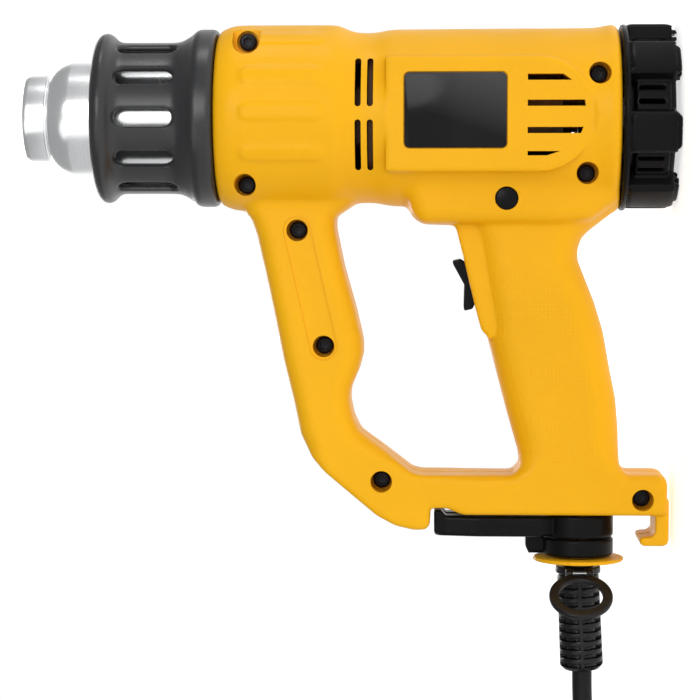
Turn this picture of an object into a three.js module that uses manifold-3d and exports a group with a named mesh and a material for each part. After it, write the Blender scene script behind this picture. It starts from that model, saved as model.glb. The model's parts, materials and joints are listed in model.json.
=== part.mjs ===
// Hot-air gun with a closed D-handle, standing nozzle-up on its rear cap.
// Millimetres. +Z runs along the barrel to the nozzle, +X is the top of the gun, and the handle
// points to -X. Shapes are drawn about the barrel axis, then the whole gun is moved along X so that
// the origin is the middle of its base.

import * as THREE from "three";
import { mergeVertices } from "three/addons/utils/BufferGeometryUtils.js";
import Module from "manifold-3d";

const wasm = await Module();
wasm.setup();

// ---- driving dimensions ----
const BASE_SHIFT = 79; // barrel axis to the middle of the footprint
const GAP = 0.3; // clearance between neighbouring pieces
const SPLIT = 0.1; // half the seam between the two housing halves
const ROUND = 32; // facets on the large turned pieces
const WIDE = 80; // longer than any piece is thick

const BARREL = { back: 22.7, front: 180.6, radius: 36.8, waist: 33.6, rear: 35.2, bore: 31 };
const PAD = { half: 34.6, top: 22.7, bottom: -21.7, front: 113.9, endCentre: 55 };
const HANDLE = { half: 16, edge: 4, wall: 3.2 };
const BASE = { under: -156.8, ledge: -140.6 };
const PIVOT = { z: 37.3, spigot: 8.6, bore: 6.2, flange: 18.6, flangeTop: -174.3, flangeEnd: -177 };
const ARM = { hub: 13.9, bore: 9, length: 57.8, width: 11.6, top: -159.1, bottom: -165.8 };
const SHIELD = { back: 180.9, collar: 35.2, sleeve: 30.2, lip: 33.9, front: 229.2, bore: 27.2 };
const SLOTS = { count: 11, width: 6.7, from: 197, to: 219.5 };
const NOZZLE = { back: 121, tube: 22, tip: 17, mouth: 15.6, step: 248.8, end: 257.6 };
const CAP = { radius: 36.8, flange: 19.8, top: 22.4, core: 30, feet: 7, footAngle: 27 };
const ROCKER = { x: -65.6, z: 82, tilt: 13.7, half: 10.3, width: 14 };
const CORD = { radius: 4, sides: 10 };
const HANK = { bottom: 1.3, turns: [26, 34, 42], straight: 60, x: -319, y: 8 };
const PLUG = { length: 36, width: 34, height: 13.6, pin: 19, pinRadius: 2.4, pinSpacing: 19 };

// Screws through the left shell into the right: [along barrel, up, depth of the seat].
const SCREWS = [
  [168.3, 29.4, 14],
  [168.7, -26.6, 17],
  [149, -44.4, 10.5],
  [138.6, -90.1, 10.5],
  [115.8, -143.6, 10.5],
  [31.5, 16.2, 25],
  [35.9, -22.1, 21],
  [12.8, -150.5, 10.5],
];
const SCREW = { boss: 5.8, hole: 4.3, head: 3.7, headHeight: 2.6, shank: 1.6, into: 9 };

// ---- finishes ----
const YELLOW = { color: 0xf9b321, roughness: 0.42, metalness: 0 };
const BLACK = { color: 0x17181a, roughness: 0.5, metalness: 0 };
const SHIELD_GREY = { color: 0x2b2d30, roughness: 0.55, metalness: 0 };
const RUBBER = { color: 0x1c1c1d, roughness: 0.72, metalness: 0 };
const STEEL = { color: 0xc9ccd0, roughness: 0.24, metalness: 1 };
const BRASS = { color: 0xc8a24a, roughness: 0.35, metalness: 1 };
const MICA = { color: 0xcdb98f, roughness: 0.7, metalness: 0 };
const LABEL = { color: 0x0c0c0d, roughness: 0.18, metalness: 0 };
const BOARD = { color: 0x2c6b3a, roughness: 0.5, metalness: 0 };

// ---- turning geometry into solids and back ----
function signedVolume(position, index) {
  const [a, b, c] = [new THREE.Vector3(), new THREE.Vector3(), new THREE.Vector3()];
  let sum = 0;
  for (let i = 0; i < index.length; i += 3) {
    a.fromBufferAttribute(position, index[i]);
    b.fromBufferAttribute(position, index[i + 1]);
    c.fromBufferAttribute(position, index[i + 2]);
    sum += a.dot(b.cross(c));
  }
  return sum / 6;
}

function solid(geometry) {
  const bare = geometry.clone();
  bare.deleteAttribute("normal");
  bare.deleteAttribute("uv");
  const merged = mergeVertices(bare, 1e-4);
  const all = Array.from(merged.index.array);
  const kept = [];
  for (let i = 0; i < all.length; i += 3) {
    const [p, q, r] = all.slice(i, i + 3);
    if (p !== q && q !== r && r !== p) kept.push(p, q, r);
  }
  if (signedVolume(merged.attributes.position, kept) < 0) kept.reverse();
  const vertProperties = Float32Array.from(merged.attributes.position.array);
  return new wasm.Manifold(new wasm.Mesh({ numProp: 3, vertProperties, triVerts: Uint32Array.from(kept) }));
}

function geometryOf(manifold) {
  const mesh = manifold.getMesh();
  const geometry = new THREE.BufferGeometry();
  geometry.setAttribute("position", new THREE.BufferAttribute(mesh.vertProperties, 3));
  geometry.setIndex(new THREE.BufferAttribute(mesh.triVerts, 1));
  const flat = geometry.toNonIndexed();
  flat.computeVertexNormals();
  return flat;
}

const join = (...solids) => solids.reduce((a, b) => a.add(b));
const cut = (body, ...tools) => tools.reduce((a, b) => a.subtract(b), body);

// ---- outlines ----
// A polygon whose corners are [x, y, radius], with each corner rounded by a true arc.
function rounded(corners, step = 24) {
  const points = [];
  const at = (i) => new THREE.Vector2(...corners[(i + corners.length) % corners.length].slice(0, 2));
  corners.forEach(([, , radius = 0], i) => {
    const corner = at(i);
    if (!radius) {
      points.push(corner);
      return;
    }
    const back = at(i - 1).sub(corner).normalize();
    const ahead = at(i + 1).sub(corner).normalize();
    const half = Math.acos(THREE.MathUtils.clamp(back.dot(ahead), -1, 1)) / 2;
    const toTangent = radius / Math.tan(half);
    const centre = corner.clone().addScaledVector(back.clone().add(ahead).normalize(), radius / Math.sin(half));
    const start = corner.clone().addScaledVector(back, toTangent).sub(centre).angle();
    let sweep = corner.clone().addScaledVector(ahead, toTangent).sub(centre).angle() - start;
    sweep -= 2 * Math.PI * Math.round(sweep / (2 * Math.PI));
    const count = Math.max(2, Math.ceil(Math.abs(THREE.MathUtils.radToDeg(sweep)) / step));
    for (let k = 0; k <= count; k += 1) {
      const angle = start + (sweep * k) / count;
      points.push(new THREE.Vector2(centre.x + radius * Math.cos(angle), centre.y + radius * Math.sin(angle)));
    }
  });
  return points;
}

// Corners of a side outline are written [along the barrel, up, radius].
const side = (corners, step) => rounded(corners.map(([z, x, r]) => [x, z, r]), step);

function circle(radius, sides, x = 0, y = 0) {
  return Array.from({ length: sides }, (_, k) => {
    const angle = ((k + 0.5) * 2 * Math.PI) / sides;
    return new THREE.Vector2(x + radius * Math.cos(angle), y + radius * Math.sin(angle));
  });
}

// ---- basic solids ----
function extruded(points, depth, holes = [], bevel = 0, bevelSegments = 2) {
  const shape = new THREE.Shape(points);
  shape.holes = holes.map((hole) => new THREE.Path(hole));
  return new THREE.ExtrudeGeometry(shape, {
    depth: depth - 2 * bevel,
    bevelEnabled: bevel > 0,
    bevelThickness: bevel,
    bevelSize: bevel,
    bevelOffset: -bevel,
    bevelSegments,
  }).translate(0, 0, bevel);
}

// A side outline in (X, Z), made thick from y0 to y1.
function plate(points, y0, y1, holes, bevel, bevelSegments) {
  const geometry = extruded(points, y1 - y0, holes, bevel, bevelSegments);
  return solid(geometry.rotateX(Math.PI / 2).translate(0, y1, 0));
}

// An outline in (Y, Z), made thick from x0 to x1.
function slab(points, x0, x1, holes, bevel) {
  const toX = new THREE.Matrix4().makeBasis(
    new THREE.Vector3(0, 1, 0),
    new THREE.Vector3(0, 0, 1),
    new THREE.Vector3(1, 0, 0),
  );
  return solid(extruded(points, x1 - x0, holes, bevel).applyMatrix4(toX).translate(x0, 0, 0));
}

// An outline in (X, Y), made thick from z0 to z1.
const layer = (points, z0, z1, holes, bevel) =>
  solid(extruded(points, z1 - z0, holes, bevel).translate(0, 0, z0));

// A profile of [radius, height] pairs, turned about Z.
function turned(profile, segments = ROUND) {
  const points = profile.map(([r, z]) => new THREE.Vector2(r, z));
  return new THREE.LatheGeometry(points, segments).rotateX(Math.PI / 2);
}

const closedProfile = (profile) => [...profile, profile[0]];
const turnedZ = (profile, segments) => solid(turned(profile, segments));
// The same, turned about an axis along X through the pivot of the kickstand.
const turnedX = (profile, segments) =>
  solid(turned(profile, segments).rotateY(Math.PI / 2).translate(0, 0, PIVOT.z));

const rod = (radius, z0, z1, segments = 16) =>
  turnedZ([[0, z0], [radius, z0], [radius, z1], [0, z1]], segments);

// A round bar along Y at a given place on the side view.
function bar([z, x], radius, y0, y1, segments = 12) {
  const geometry = new THREE.CylinderGeometry(radius, radius, y1 - y0, segments);
  return solid(geometry.translate(x, (y0 + y1) / 2, z));
}

function block(x0, x1, y0, y1, z0, z1) {
  const geometry = new THREE.BoxGeometry(x1 - x0, y1 - y0, z1 - z0);
  return solid(geometry.translate((x0 + x1) / 2, (y0 + y1) / 2, (z0 + z1) / 2));
}

function aroundZ(manifold, angle) {
  const turn = new THREE.Matrix4().makeRotationZ(angle);
  return solid(geometryOf(manifold).applyMatrix4(turn));
}

const leftHalf = block(-300, 100, -WIDE, -SPLIT, -50, 300);
const rightHalf = block(-300, 100, SPLIT, WIDE, -50, 300);

// ---- housing ----
function housingOutside() {
  const barrel = turnedZ([
    [0, BARREL.back],
    [37.3, BARREL.back],
    [37.3, 26.9],
    [35.5, 28.4],
    [BARREL.rear, 113.6],
    [BARREL.waist, 116.8],
    [BARREL.waist, 128.2],
    [BARREL.radius, 131.6],
    [BARREL.radius, 174.6],
    [34.3, BARREL.front],
    [0, BARREL.front],
  ]);
  const padRadius = (PAD.top - PAD.bottom) / 2;
  const pad = plate(
    side([
      [PAD.front, PAD.top, 3],
      [PAD.front, PAD.bottom, 3],
      [PAD.endCentre - padRadius, PAD.bottom, padRadius - 0.5],
      [PAD.endCentre - padRadius, PAD.top, padRadius - 0.5],
    ]),
    -PAD.half,
    PAD.half,
    [],
    1.6,
  );
  const frame = plate(
    side([
      [167, -20, 0],
      [167.6, -38, 6],
      [146.2, -133, 20],
      [110.5, -162.9, 16],
      [98.4, -162.9, 5],
      [98.4, -154.6, 0],
      [90, -154.4, 0],
      [83.6, BASE.under, 0],
      [4.2, BASE.under, 0],
      [3, BASE.ledge, 6],
      [21.6, BASE.ledge, 3],
      [22.4, -117, 60],
      [29.2, -81, 60],
      [40.2, -54, 7],
      [24, -35, 0],
      [24, -20, 0],
    ]),
    -HANDLE.half,
    HANDLE.half,
    [],
    HANDLE.edge,
  ).subtract(plate(handleOpening(), -WIDE, WIDE));
  const frontLip = plate(
    side([
      [112, -150, 0],
      [111.5, -162.9, 10],
      [96.5, -162.9, 2.4],
      [96.5, -154.6, 0],
      [96.5, -150, 0],
    ]),
    -11.5,
    11.5,
  );
  const hook = plate(
    side([
      [2.2, -148, 0],
      [2.2, -169.2, 2.5],
      [12.4, -169.2, 1],
      [13.9, -167.4, 0.9],
      [13.9, -165.4, 0.9],
      [7.7, -165.4, 1],
      [7.7, -148, 0],
    ]),
    -13,
    13,
    [],
    0.6,
  );
  const spigot = turnedX([
    [0, PIVOT.flangeEnd],
    [PIVOT.flange, PIVOT.flangeEnd],
    [PIVOT.flange, PIVOT.flangeTop],
    [PIVOT.spigot, PIVOT.flangeTop],
    [PIVOT.spigot, -150],
    [0, -150],
  ], 32);
  return join(barrel, pad, frame, frontLip, hook, spigot);
}

// The hole that the fingers go through.
function handleOpening() {
  return side([
    [134.8, -40.5, 4],
    [127, -30, 0],
    [105.6, -30, 0],
    [102.6, -41.7, 4],
    [87, -41.7, 0],
    [76.2, -85, 0],
    [74.2, -86.2, 0],
    [60, -141, 5],
    [102.5, -141, 7],
    [126.6, -122.3, 9],
    [129.4, -108, 9],
    [122.6, -91, 10],
  ]);
}

function housingHollow() {
  const inner = HANDLE.half - HANDLE.wall;
  const bore = rod(BARREL.bore, BARREL.back - 1, BARREL.front + 1, ROUND);
  const grip = plate(
    side([
      [43.5, -24, 0],
      [42.5, -52, 4],
      [32.8, -78, 20],
      [25.6, -118, 20],
      [25, -137.2, 0],
      [6.4, -144, 3],
      [6.4, -153.6, 1],
      [85, -153.6, 1],
      [92, -151.4, 0],
      [105, -151.4, 1],
      [107, -144.6, 1],
      [62, -144.2, 0],
      [56.6, -137, 0],
      [71.3, -85.5, 0],
      [84, -45, 0],
      [86, -24, 0],
    ]),
    -inner,
    inner,
  );
  const post = plate(
    side([
      [138.4, -38, 0],
      [163.4, -38, 0],
      [143.5, -128, 8],
      [132, -134.5, 4],
      [133, -108, 8],
      [126.8, -91, 8],
    ]),
    -inner,
    inner,
  );
  const cableWay = turnedX([[0, -180], [PIVOT.bore, -180], [PIVOT.bore, -150], [0, -150]], 24);
  return join(bore, grip, post, cableWay);
}

function vents() {
  const pieces = [];
  for (const z of [118.6, 123.3]) {
    pieces.push(block(3.4, 22.2, -WIDE, WIDE, z, z + 2.4), block(-21, -1.6, -WIDE, WIDE, z, z + 2.4));
  }
  const rows = [
    [14.5, 2.4, 44],
    [4.6, 2.4, 37.1],
    [-5.8, 2.4, 38.4],
    [-14.6, 1.7, 49],
  ];
  rows.forEach(([x, height, back]) => {
    pieces.push(block(x - height / 2, x + height / 2, -WIDE, WIDE, back, 59.3));
  });
  return pieces;
}

function rockerFrame(points) {
  const tilt = THREE.MathUtils.degToRad(ROCKER.tilt);
  // Local coordinates run along the grip's front edge and out of it.
  return points.map(([along, out]) => new THREE.Vector2(
    ROCKER.x + along * Math.cos(tilt) - out * Math.sin(tilt),
    ROCKER.z + along * Math.sin(tilt) + out * Math.cos(tilt),
  ));
}

function labelOutline(inset) {
  return side([
    [106.6 - inset, 16.4 - inset, 3],
    [106.6 - inset, -12.6 + inset, 3],
    [67.2 + inset, -12.6 + inset, 3],
    [67.2 + inset, 16.4 - inset, 3],
  ]);
}

const PLUG_HOLE = [66.9, -31.8];

function housing() {
  const outside = housingOutside();
  let shell = outside.subtract(housingHollow());
  const bosses = SCREWS.map(([z, x]) => bar([z, x], SCREW.boss, -WIDE, WIDE, 16));
  const tubeWay = rod(NOZZLE.tube + 0.6, 118, BARREL.front + 1, ROUND);
  shell = shell.add(join(...bosses).intersect(outside).subtract(tubeWay));
  const clampPosts = [26.3, 48.3].map((z) => turnedPost(z, 3.2, -154, -149.8));
  shell = shell.add(join(...clampPosts));
  const seats = SCREWS.map(([z, x, seat]) => bar([z, x], SCREW.hole, -WIDE, -seat, 16));
  const pilots = SCREWS.map(([z, x]) => bar([z, x], SCREW.shank + GAP, -WIDE, 11));
  const window = rockerFrame([[-10.9, -9], [10.9, -9], [10.9, 6], [-10.9, 6]]);
  const plugHoles = [-1, 1].map((s) => bar(PLUG_HOLE, 4.5, s > 0 ? 13 : -20, s > 0 ? 20 : -13, 16));
  const labels = [-1, 1].map((s) => plate(labelOutline(-GAP), s > 0 ? 33.8 : -40, s > 0 ? 40 : -33.8));
  const clampPilots = [26.3, 48.3].map((z) => turnedPost(z, 1.3, -153, -149));
  shell = cut(
    shell,
    ...seats,
    ...pilots,
    ...vents(),
    plate(window, -ROCKER.width / 2 - 0.5, ROCKER.width / 2 + 0.5),
    ...plugHoles,
    ...labels,
    ...clampPilots,
  );
  return [shell.intersect(leftHalf), shell.intersect(rightHalf)];
}

// A short round bar along X in the right half of the base, for the cable clamp.
function turnedPost(z, radius, x0, x1) {
  const geometry = new THREE.CylinderGeometry(radius, radius, x1 - x0, 10).rotateZ(Math.PI / 2);
  return solid(geometry.translate((x0 + x1) / 2, 3.9, z));
}

// ---- hot end ----
function heatShield() {
  const body = turnedZ(closedProfile([
    [BARREL.bore - 0.4, 174.9],
    [BARREL.bore - 0.4, SHIELD.back],
    [34.8, SHIELD.back],
    [SHIELD.collar, 182],
    [SHIELD.collar, 188.6],
    [30.5, 194.2],
    [SHIELD.sleeve, 195.4],
    [SHIELD.sleeve, 220.6],
    [33.2, 222.8],
    [SHIELD.lip, 225],
    [33.2, 227.4],
    [30.4, SHIELD.front],
    [SHIELD.bore, SHIELD.front],
    [SHIELD.bore, 176],
    [27.8, 174.9],
  ]), 33);
  const slots = [];
  for (let k = 0; k < SLOTS.count; k += 1) {
    const angle = (2 * Math.PI * (k + 0.25)) / SLOTS.count;
    const slot = block(24, 40, -SLOTS.width / 2, SLOTS.width / 2, SLOTS.from, SLOTS.to);
    slots.push(aroundZ(slot, angle));
  }
  return cut(body, ...slots);
}

function nozzleTube() {
  return turnedZ(closedProfile([
    [NOZZLE.tube, NOZZLE.back],
    [NOZZLE.tube, 239.4],
    [21.5, 241.4],
    [20.2, 244.4],
    [NOZZLE.tip + 0.4, 247.7],
    [NOZZLE.tip - 0.6, 248],
    [NOZZLE.tip - 0.6, 248.6],
    [NOZZLE.tip, NOZZLE.step],
    [NOZZLE.tip, 257],
    [NOZZLE.tip - 0.3, NOZZLE.end],
    [NOZZLE.mouth, NOZZLE.end],
    [NOZZLE.mouth, 247],
    [20.9, 239],
    [20.9, NOZZLE.back],
  ]));
}

const sleeve = (outer, inner, z0, z1, segments) =>
  turnedZ(closedProfile([[outer, z0], [outer, z1], [inner, z1], [inner, z0]]), segments);

function heaterFormer() {
  return join(
    block(-16.2, 16.2, -0.6, 0.6, 128, 232),
    block(-0.6, 0.6, -16.2, 16.2, 128, 232),
    rod(3, 127, 233, 12),
  );
}

function thermocouple() {
  const probe = new THREE.CylinderGeometry(0.8, 0.8, 84, 8).rotateX(Math.PI / 2);
  return solid(probe.translate(8, 8, 194));
}

class Helix extends THREE.Curve {
  constructor(radius, from, to, turns) {
    super();
    Object.assign(this, { radius, from, to, turns });
  }

  getPoint(t, target = new THREE.Vector3()) {
    const angle = 2 * Math.PI * this.turns * t;
    const height = THREE.MathUtils.lerp(this.from, this.to, t);
    return target.set(this.radius * Math.cos(angle), this.radius * Math.sin(angle), height);
  }
}

function swept(curve, radius, sides, steps) {
  const section = new THREE.Shape(circle(radius, sides));
  return solid(new THREE.ExtrudeGeometry(section, { steps, extrudePath: curve, bevelEnabled: false }));
}

function fanImpeller() {
  const hub = rod(6, 91, 107, 20);
  const disc = rod(26, 91, 92.6, 32);
  const blades = [];
  for (let k = 0; k < 9; k += 1) {
    const blade = block(5.2, 25, -0.8, 0.8, 92, 107);
    blades.push(aroundZ(blade, (2 * Math.PI * k) / 9));
  }
  return cut(join(hub, disc, ...blades), rod(1.8, 90, 108, 12));
}

function motorMount() {
  const holes = Array.from({ length: 8 }, (_, k) => {
    const angle = (2 * Math.PI * (k + 0.5)) / 8;
    return circle(3.6, 6, 24.4 * Math.cos(angle), 24.4 * Math.sin(angle)).reverse();
  });
  return layer(circle(30.5, 32), 62, 64.4, [circle(18, 24).reverse(), ...holes]);
}

// ---- rear cap and dial ----
function rearCap() {
  const core = turnedZ(closedProfile([
    [CAP.core, 2],
    [CAP.core, CAP.flange],
    [CAP.radius, CAP.flange],
    [CAP.radius, CAP.top],
    [27.4, CAP.top],
    [27.4, 4.4],
    [15, 4.4],
    [15, 14.4],
    [3.4, 14.4],
    [3.4, 12.4],
    [13, 12.4],
    [13, 2],
  ]), 35);
  const half = THREE.MathUtils.degToRad(CAP.footAngle / 2);
  const pitch = (2 * Math.PI) / CAP.feet;
  const feet = [];
  const cuts = [];
  for (let k = 0; k < CAP.feet; k += 1) {
    const outline = [-1, -0.34, 0.34, 1].map((t) => new THREE.Vector2(
      CAP.radius * Math.cos(t * half),
      CAP.radius * Math.sin(t * half),
    ));
    const inner = [1, -1].map((t) => new THREE.Vector2(28 * Math.cos(t * half), 28 * Math.sin(t * half)));
    feet.push(aroundZ(layer([...outline, ...inner], 0, CAP.flange + 1), pitch * k));
    for (const z of [6.4, 12.2]) {
      cuts.push(aroundZ(block(26, 32, -5, 5, z, z + 3.2), pitch * (k + 0.5)));
    }
    cuts.push(aroundZ(block(17.4, 25, -1.6, 1.6, 1, 6), pitch * (k + 0.5)));
  }
  return cut(join(core, ...feet), ...cuts);
}

function temperatureDial() {
  const knob = turnedZ([[0, 3.4], [11.4, 3.4], [12.2, 4.4], [12.2, 11.6], [0, 11.6]], 24);
  const grip = block(-10.4, 10.4, -2, 2, 1.2, 4);
  return join(knob, grip, rod(2.9, 11, 15.2, 12));
}

// ---- switch ----
function rockerPaddle() {
  const { half, width } = ROCKER;
  const outline = rockerFrame([
    [-half, 0.4],
    [-half, 3.6],
    [-half + 1.6, 3.7],
    [0, 1.3],
    [half - 1.6, 3.7],
    [half, 3.6],
    [half, 0.4],
    [5, -4.2],
    [-5, -4.2],
  ]);
  return plate(outline, -width / 2, width / 2);
}

function switchBody() {
  return plate(rockerFrame([[-13.6, -22], [13.6, -22], [13.6, -9.4], [-13.6, -9.4]]), -9.5, 9.5);
}

// ---- kickstand ----
// Each arm is drawn folded forward, with its hub on the pivot axis and its bar on one side of the
// middle plane. sign is -1 for the left arm, and rootZ is where the bar starts.
function kickstandBar(sign, rootZ) {
  const near = sign * 0.7;
  const far = sign * (0.7 + ARM.width);
  const outline = rounded([
    [near, rootZ, 0],
    [near, ARM.length, 1],
    [far - sign * 2.4, ARM.length, 4],
    [far, 40, 8],
    [far, rootZ + 2.6, 0],
    [sign * 8.6, rootZ, 0],
  ].map(([y, z, r]) => [y, z + PIVOT.z, r]));
  return slab(sign > 0 ? outline : outline.reverse(), ARM.bottom, ARM.top);
}

function kickstandHub(top, bottom) {
  return turnedX(closedProfile([
    [ARM.hub, bottom],
    [ARM.hub, top],
    [ARM.bore, top],
    [ARM.bore, bottom],
  ]), 28);
}

// The upturned toe at the end of the bar.
function kickstandToe(sign) {
  const [y0, y1] = sign > 0 ? [2, 10] : [-10, -2];
  const tip = PIVOT.z + ARM.length;
  return block(ARM.bottom + 1, -155.4, y0, y1, tip - 3.2, tip - 0.1);
}

function kickstandLeft() {
  const hub = kickstandHub(-157.3, ARM.bottom - 0.1);
  return join(hub, kickstandBar(-1, 12.4), kickstandToe(-1));
}

// The right arm turns on the lower hub, and a web outside the upper hub carries its bar.
function kickstandRight() {
  const hub = kickstandHub(-167.1, -174);
  const clear = ARM.hub + 0.7;
  const foot = block(-174, -167.1, 1.2, 10.4, PIVOT.z + 10.6, PIVOT.z + 21);
  const web = block(-174, -160, 1.2, 10.4, PIVOT.z + clear, PIVOT.z + 21);
  return join(hub, foot, web, kickstandBar(1, clear), kickstandToe(1));
}

// ---- cable exit ----
const RELIEF = { neck: 5.8, top: -181.9, end: -220.5, tilt: 2.6 };

function strainRelief() {
  const neck = turnedX([
    [0, -184],
    [RELIEF.neck, -184],
    [RELIEF.neck, -152.6],
    [8, -152.6],
    [8, -150.4],
    [0, -150.4],
  ], 24);
  const profile = [
    [0, RELIEF.top],
    [8.3, RELIEF.top],
    [8.6, -218.4],
    [6.6, RELIEF.end],
    [0, RELIEF.end],
  ];
  const body = turned(profile, 20).rotateY(Math.PI / 2);
  const tilt = THREE.MathUtils.degToRad(RELIEF.tilt);
  body.translate(-RELIEF.top, 0, 0).rotateY(-tilt).translate(RELIEF.top, 0, PIVOT.z);
  return neck.add(solid(body));
}

const RING = { hingeX: -180.1, hingeY: -12, droop: 33, outer: 12.5, band: 4, thick: 2.2, offset: 13.6 };

function hangCollar() {
  const band = turnedX(closedProfile([[9, -181.5], [9, -178.7], [6.2, -178.7], [6.2, -181.5]]), 28);
  const lug = block(-181.3, -178.9, RING.hingeY, -7.4, PIVOT.z - 2.2, PIVOT.z + 2.2);
  return cut(join(band, lug, hingeBar(1.2, 2.2)), hingeBar(0.95, 4));
}

function hingeBar(radius, half) {
  const geometry = new THREE.CylinderGeometry(radius, radius, 2 * half, 12).rotateX(Math.PI / 2);
  return solid(geometry.translate(RING.hingeX, RING.hingeY, PIVOT.z));
}

function hangRing() {
  const hole = circle(RING.outer - RING.band, 18, RING.offset, 0).reverse();
  const annulus = extruded(circle(RING.outer, 22, RING.offset, 0), RING.thick, [hole]);
  annulus.translate(0, 0, -RING.thick / 2);
  const notch = new THREE.BoxGeometry(6, 5.2, 6);
  const knuckles = [-4.1, 4.1].map((y) =>
    solid(new THREE.CylinderGeometry(1.9, 1.9, 2.9, 12).translate(0.2, y, 0)));
  const eye = solid(new THREE.CylinderGeometry(0.95, 0.95, 20, 12));
  const ring = cut(join(solid(annulus), ...knuckles), solid(notch), eye);
  // The ring is drawn reaching along its own +X. It is set reaching to -Y, then drooped towards -X.
  const place = new THREE.Matrix4().makeTranslation(RING.hingeX, RING.hingeY, PIVOT.z);
  place.multiply(new THREE.Matrix4().makeRotationZ(THREE.MathUtils.degToRad(-90 - RING.droop)));
  place.multiply(new THREE.Matrix4().makeRotationX(Math.PI / 2));
  return solid(geometryOf(ring).applyMatrix4(place));
}

function cableClamp() {
  const strap = rounded([[-4, 22.3, 2], [7.6, 22.3, 2], [7.6, 52.3, 2], [-4, 52.3, 2]]);
  const holes = [26.3, 48.3].map((z) => circle(1.5, 10, 3.9, z).reverse());
  return slab(strap, -149.5, -146.7, holes);
}

function clampScrew(z) {
  const profile = [[0, -152.6], [1.05, -152.6], [1.05, -146.4], [2.6, -146.4], [2.6, -144.8], [0, -144.8]];
  return solid(turned(profile, 12).rotateY(Math.PI / 2).translate(0, 3.9, z));
}

// ---- power cord ----
// Hand-laid route of the stretch between the strain relief and the hank, [x, y, z].
const LEAD = [
  [-220.9, 0, 35.5],
  [-229, 0, 35.4],
  [-238, -0.8, 35],
  [-247, -3.4, 34.2],
  [-256, -7.9, 33],
  [-265, -13.6, 31.2],
  [-274, -19.8, 28.7],
  [-283, -25.6, 25.5],
  [-290, -29.4, 22.6],
];
// And from the hank to the plug.
const TAIL = [
  [-379, -32.8, 6.3],
  [-385, -31.2, 6.5],
  [-393, -28.3, 6.8],
  [-401, -24.7, 7.1],
  [-408, -21.4, 7.2],
];
const PLUG_AT = { x: -408.3, y: -21.25, z: 7.2, turn: -24 };

function cordRun(points, steps) {
  const curve = new THREE.CatmullRomCurve3(points.map((p) => new THREE.Vector3(...p)), false, "centripetal");
  return swept(curve, CORD.radius, CORD.sides, steps);
}

// A racetrack about the hank's middle, offset outwards to the given end radius.
function racetrack(radius) {
  const reach = HANK.straight / 2 + radius;
  return rounded([
    [HANK.x + reach, HANK.y + radius, radius - 0.01],
    [HANK.x - reach, HANK.y + radius, radius - 0.01],
    [HANK.x - reach, HANK.y - radius, radius - 0.01],
    [HANK.x + reach, HANK.y - radius, radius - 0.01],
  ]);
}

const HANK_TOP = HANK.bottom + 4 * CORD.radius;

function cordHank() {
  const outer = racetrack(HANK.turns[2] + CORD.radius);
  const inner = racetrack(HANK.turns[0] - CORD.radius).reverse();
  return layer(outer, HANK.bottom, HANK_TOP, [inner]);
}

function cordTie() {
  const y = HANK.y + HANK.turns[1];
  const half = (HANK.turns[2] - HANK.turns[0]) / 2 + CORD.radius + GAP;
  const outer = rounded([
    [y - half - 1, 0.05, 1],
    [y + half + 1, 0.05, 1],
    [y + half + 1, HANK_TOP + GAP + 1, 1],
    [y - half - 1, HANK_TOP + GAP + 1, 1],
  ]);
  const inner = rounded([
    [y - half, HANK.bottom - 0.25, 0.4],
    [y + half, HANK.bottom - 0.25, 0.4],
    [y + half, HANK_TOP + GAP, 0.4],
    [y - half, HANK_TOP + GAP, 0.4],
  ]).reverse();
  return slab(outer, HANK.x - 7, HANK.x + 7, [inner]);
}

function plugPlace() {
  const place = new THREE.Matrix4().makeTranslation(PLUG_AT.x, PLUG_AT.y, PLUG_AT.z);
  return place.multiply(new THREE.Matrix4().makeRotationZ(THREE.MathUtils.degToRad(180 + PLUG_AT.turn)));
}

function plugBody() {
  const half = PLUG.width / 2;
  const outline = rounded([
    [0, -5.4, 2.6],
    [7, -6.4, 3],
    [14, -half, 6],
    [PLUG.length, -half, 4],
    [PLUG.length, half, 4],
    [14, half, 6],
    [7, 6.4, 3],
    [0, 5.4, 2.6],
  ]);
  const body = extruded(outline, PLUG.height, [], 2, 1).translate(0, 0, -PLUG.height / 2);
  return solid(body.applyMatrix4(plugPlace()));
}

function plugPin(offset) {
  const profile = [
    [0, GAP],
    [PLUG.pinRadius, GAP],
    [PLUG.pinRadius, PLUG.pin - 1.2],
    [PLUG.pinRadius - 1.1, PLUG.pin],
    [0, PLUG.pin],
  ];
  const pin = turned(profile, 12).rotateY(Math.PI / 2).translate(PLUG.length, offset, 0);
  return solid(pin.applyMatrix4(plugPlace()));
}

function housingScrew([z, x, seat]) {
  const profile = [
    [0, -SCREW.into],
    [SCREW.shank, -SCREW.into],
    [SCREW.shank, seat + GAP],
    [SCREW.head, seat + GAP],
    [SCREW.head, seat + GAP + SCREW.headHeight],
    [1.7, seat + GAP + SCREW.headHeight],
    [1.7, seat + GAP + 0.8],
    [0, seat + GAP + 0.8],
  ];
  return solid(turned(profile, 10).rotateX(Math.PI / 2).translate(x, 0, z));
}

// ---- the gun ----
const gun = new THREE.Group();
gun.position.x = BASE_SHIFT;

function add(name, manifold, finish) {
  const mesh = new THREE.Mesh(geometryOf(manifold), new THREE.MeshStandardMaterial(finish));
  mesh.name = name;
  gun.add(mesh);
}

const [housingLeft, housingRight] = housing();
add("housing_left", housingLeft, YELLOW);
add("housing_right", housingRight, YELLOW);
SCREWS.forEach((screw, k) => add(`housing_screw_${k + 1}`, housingScrew(screw), BLACK));
[-1, 1].forEach((s) => {
  const name = s < 0 ? "left" : "right";
  add(`label_${name}`, plate(labelOutline(0), s < 0 ? -34.9 : 34.1, s < 0 ? -34.1 : 34.9), LABEL);
  add(`trim_plug_${name}`, bar(PLUG_HOLE, 4.2, s < 0 ? -16 : 13.3, s < 0 ? -13.3 : 16, 16), BLACK);
});

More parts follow.
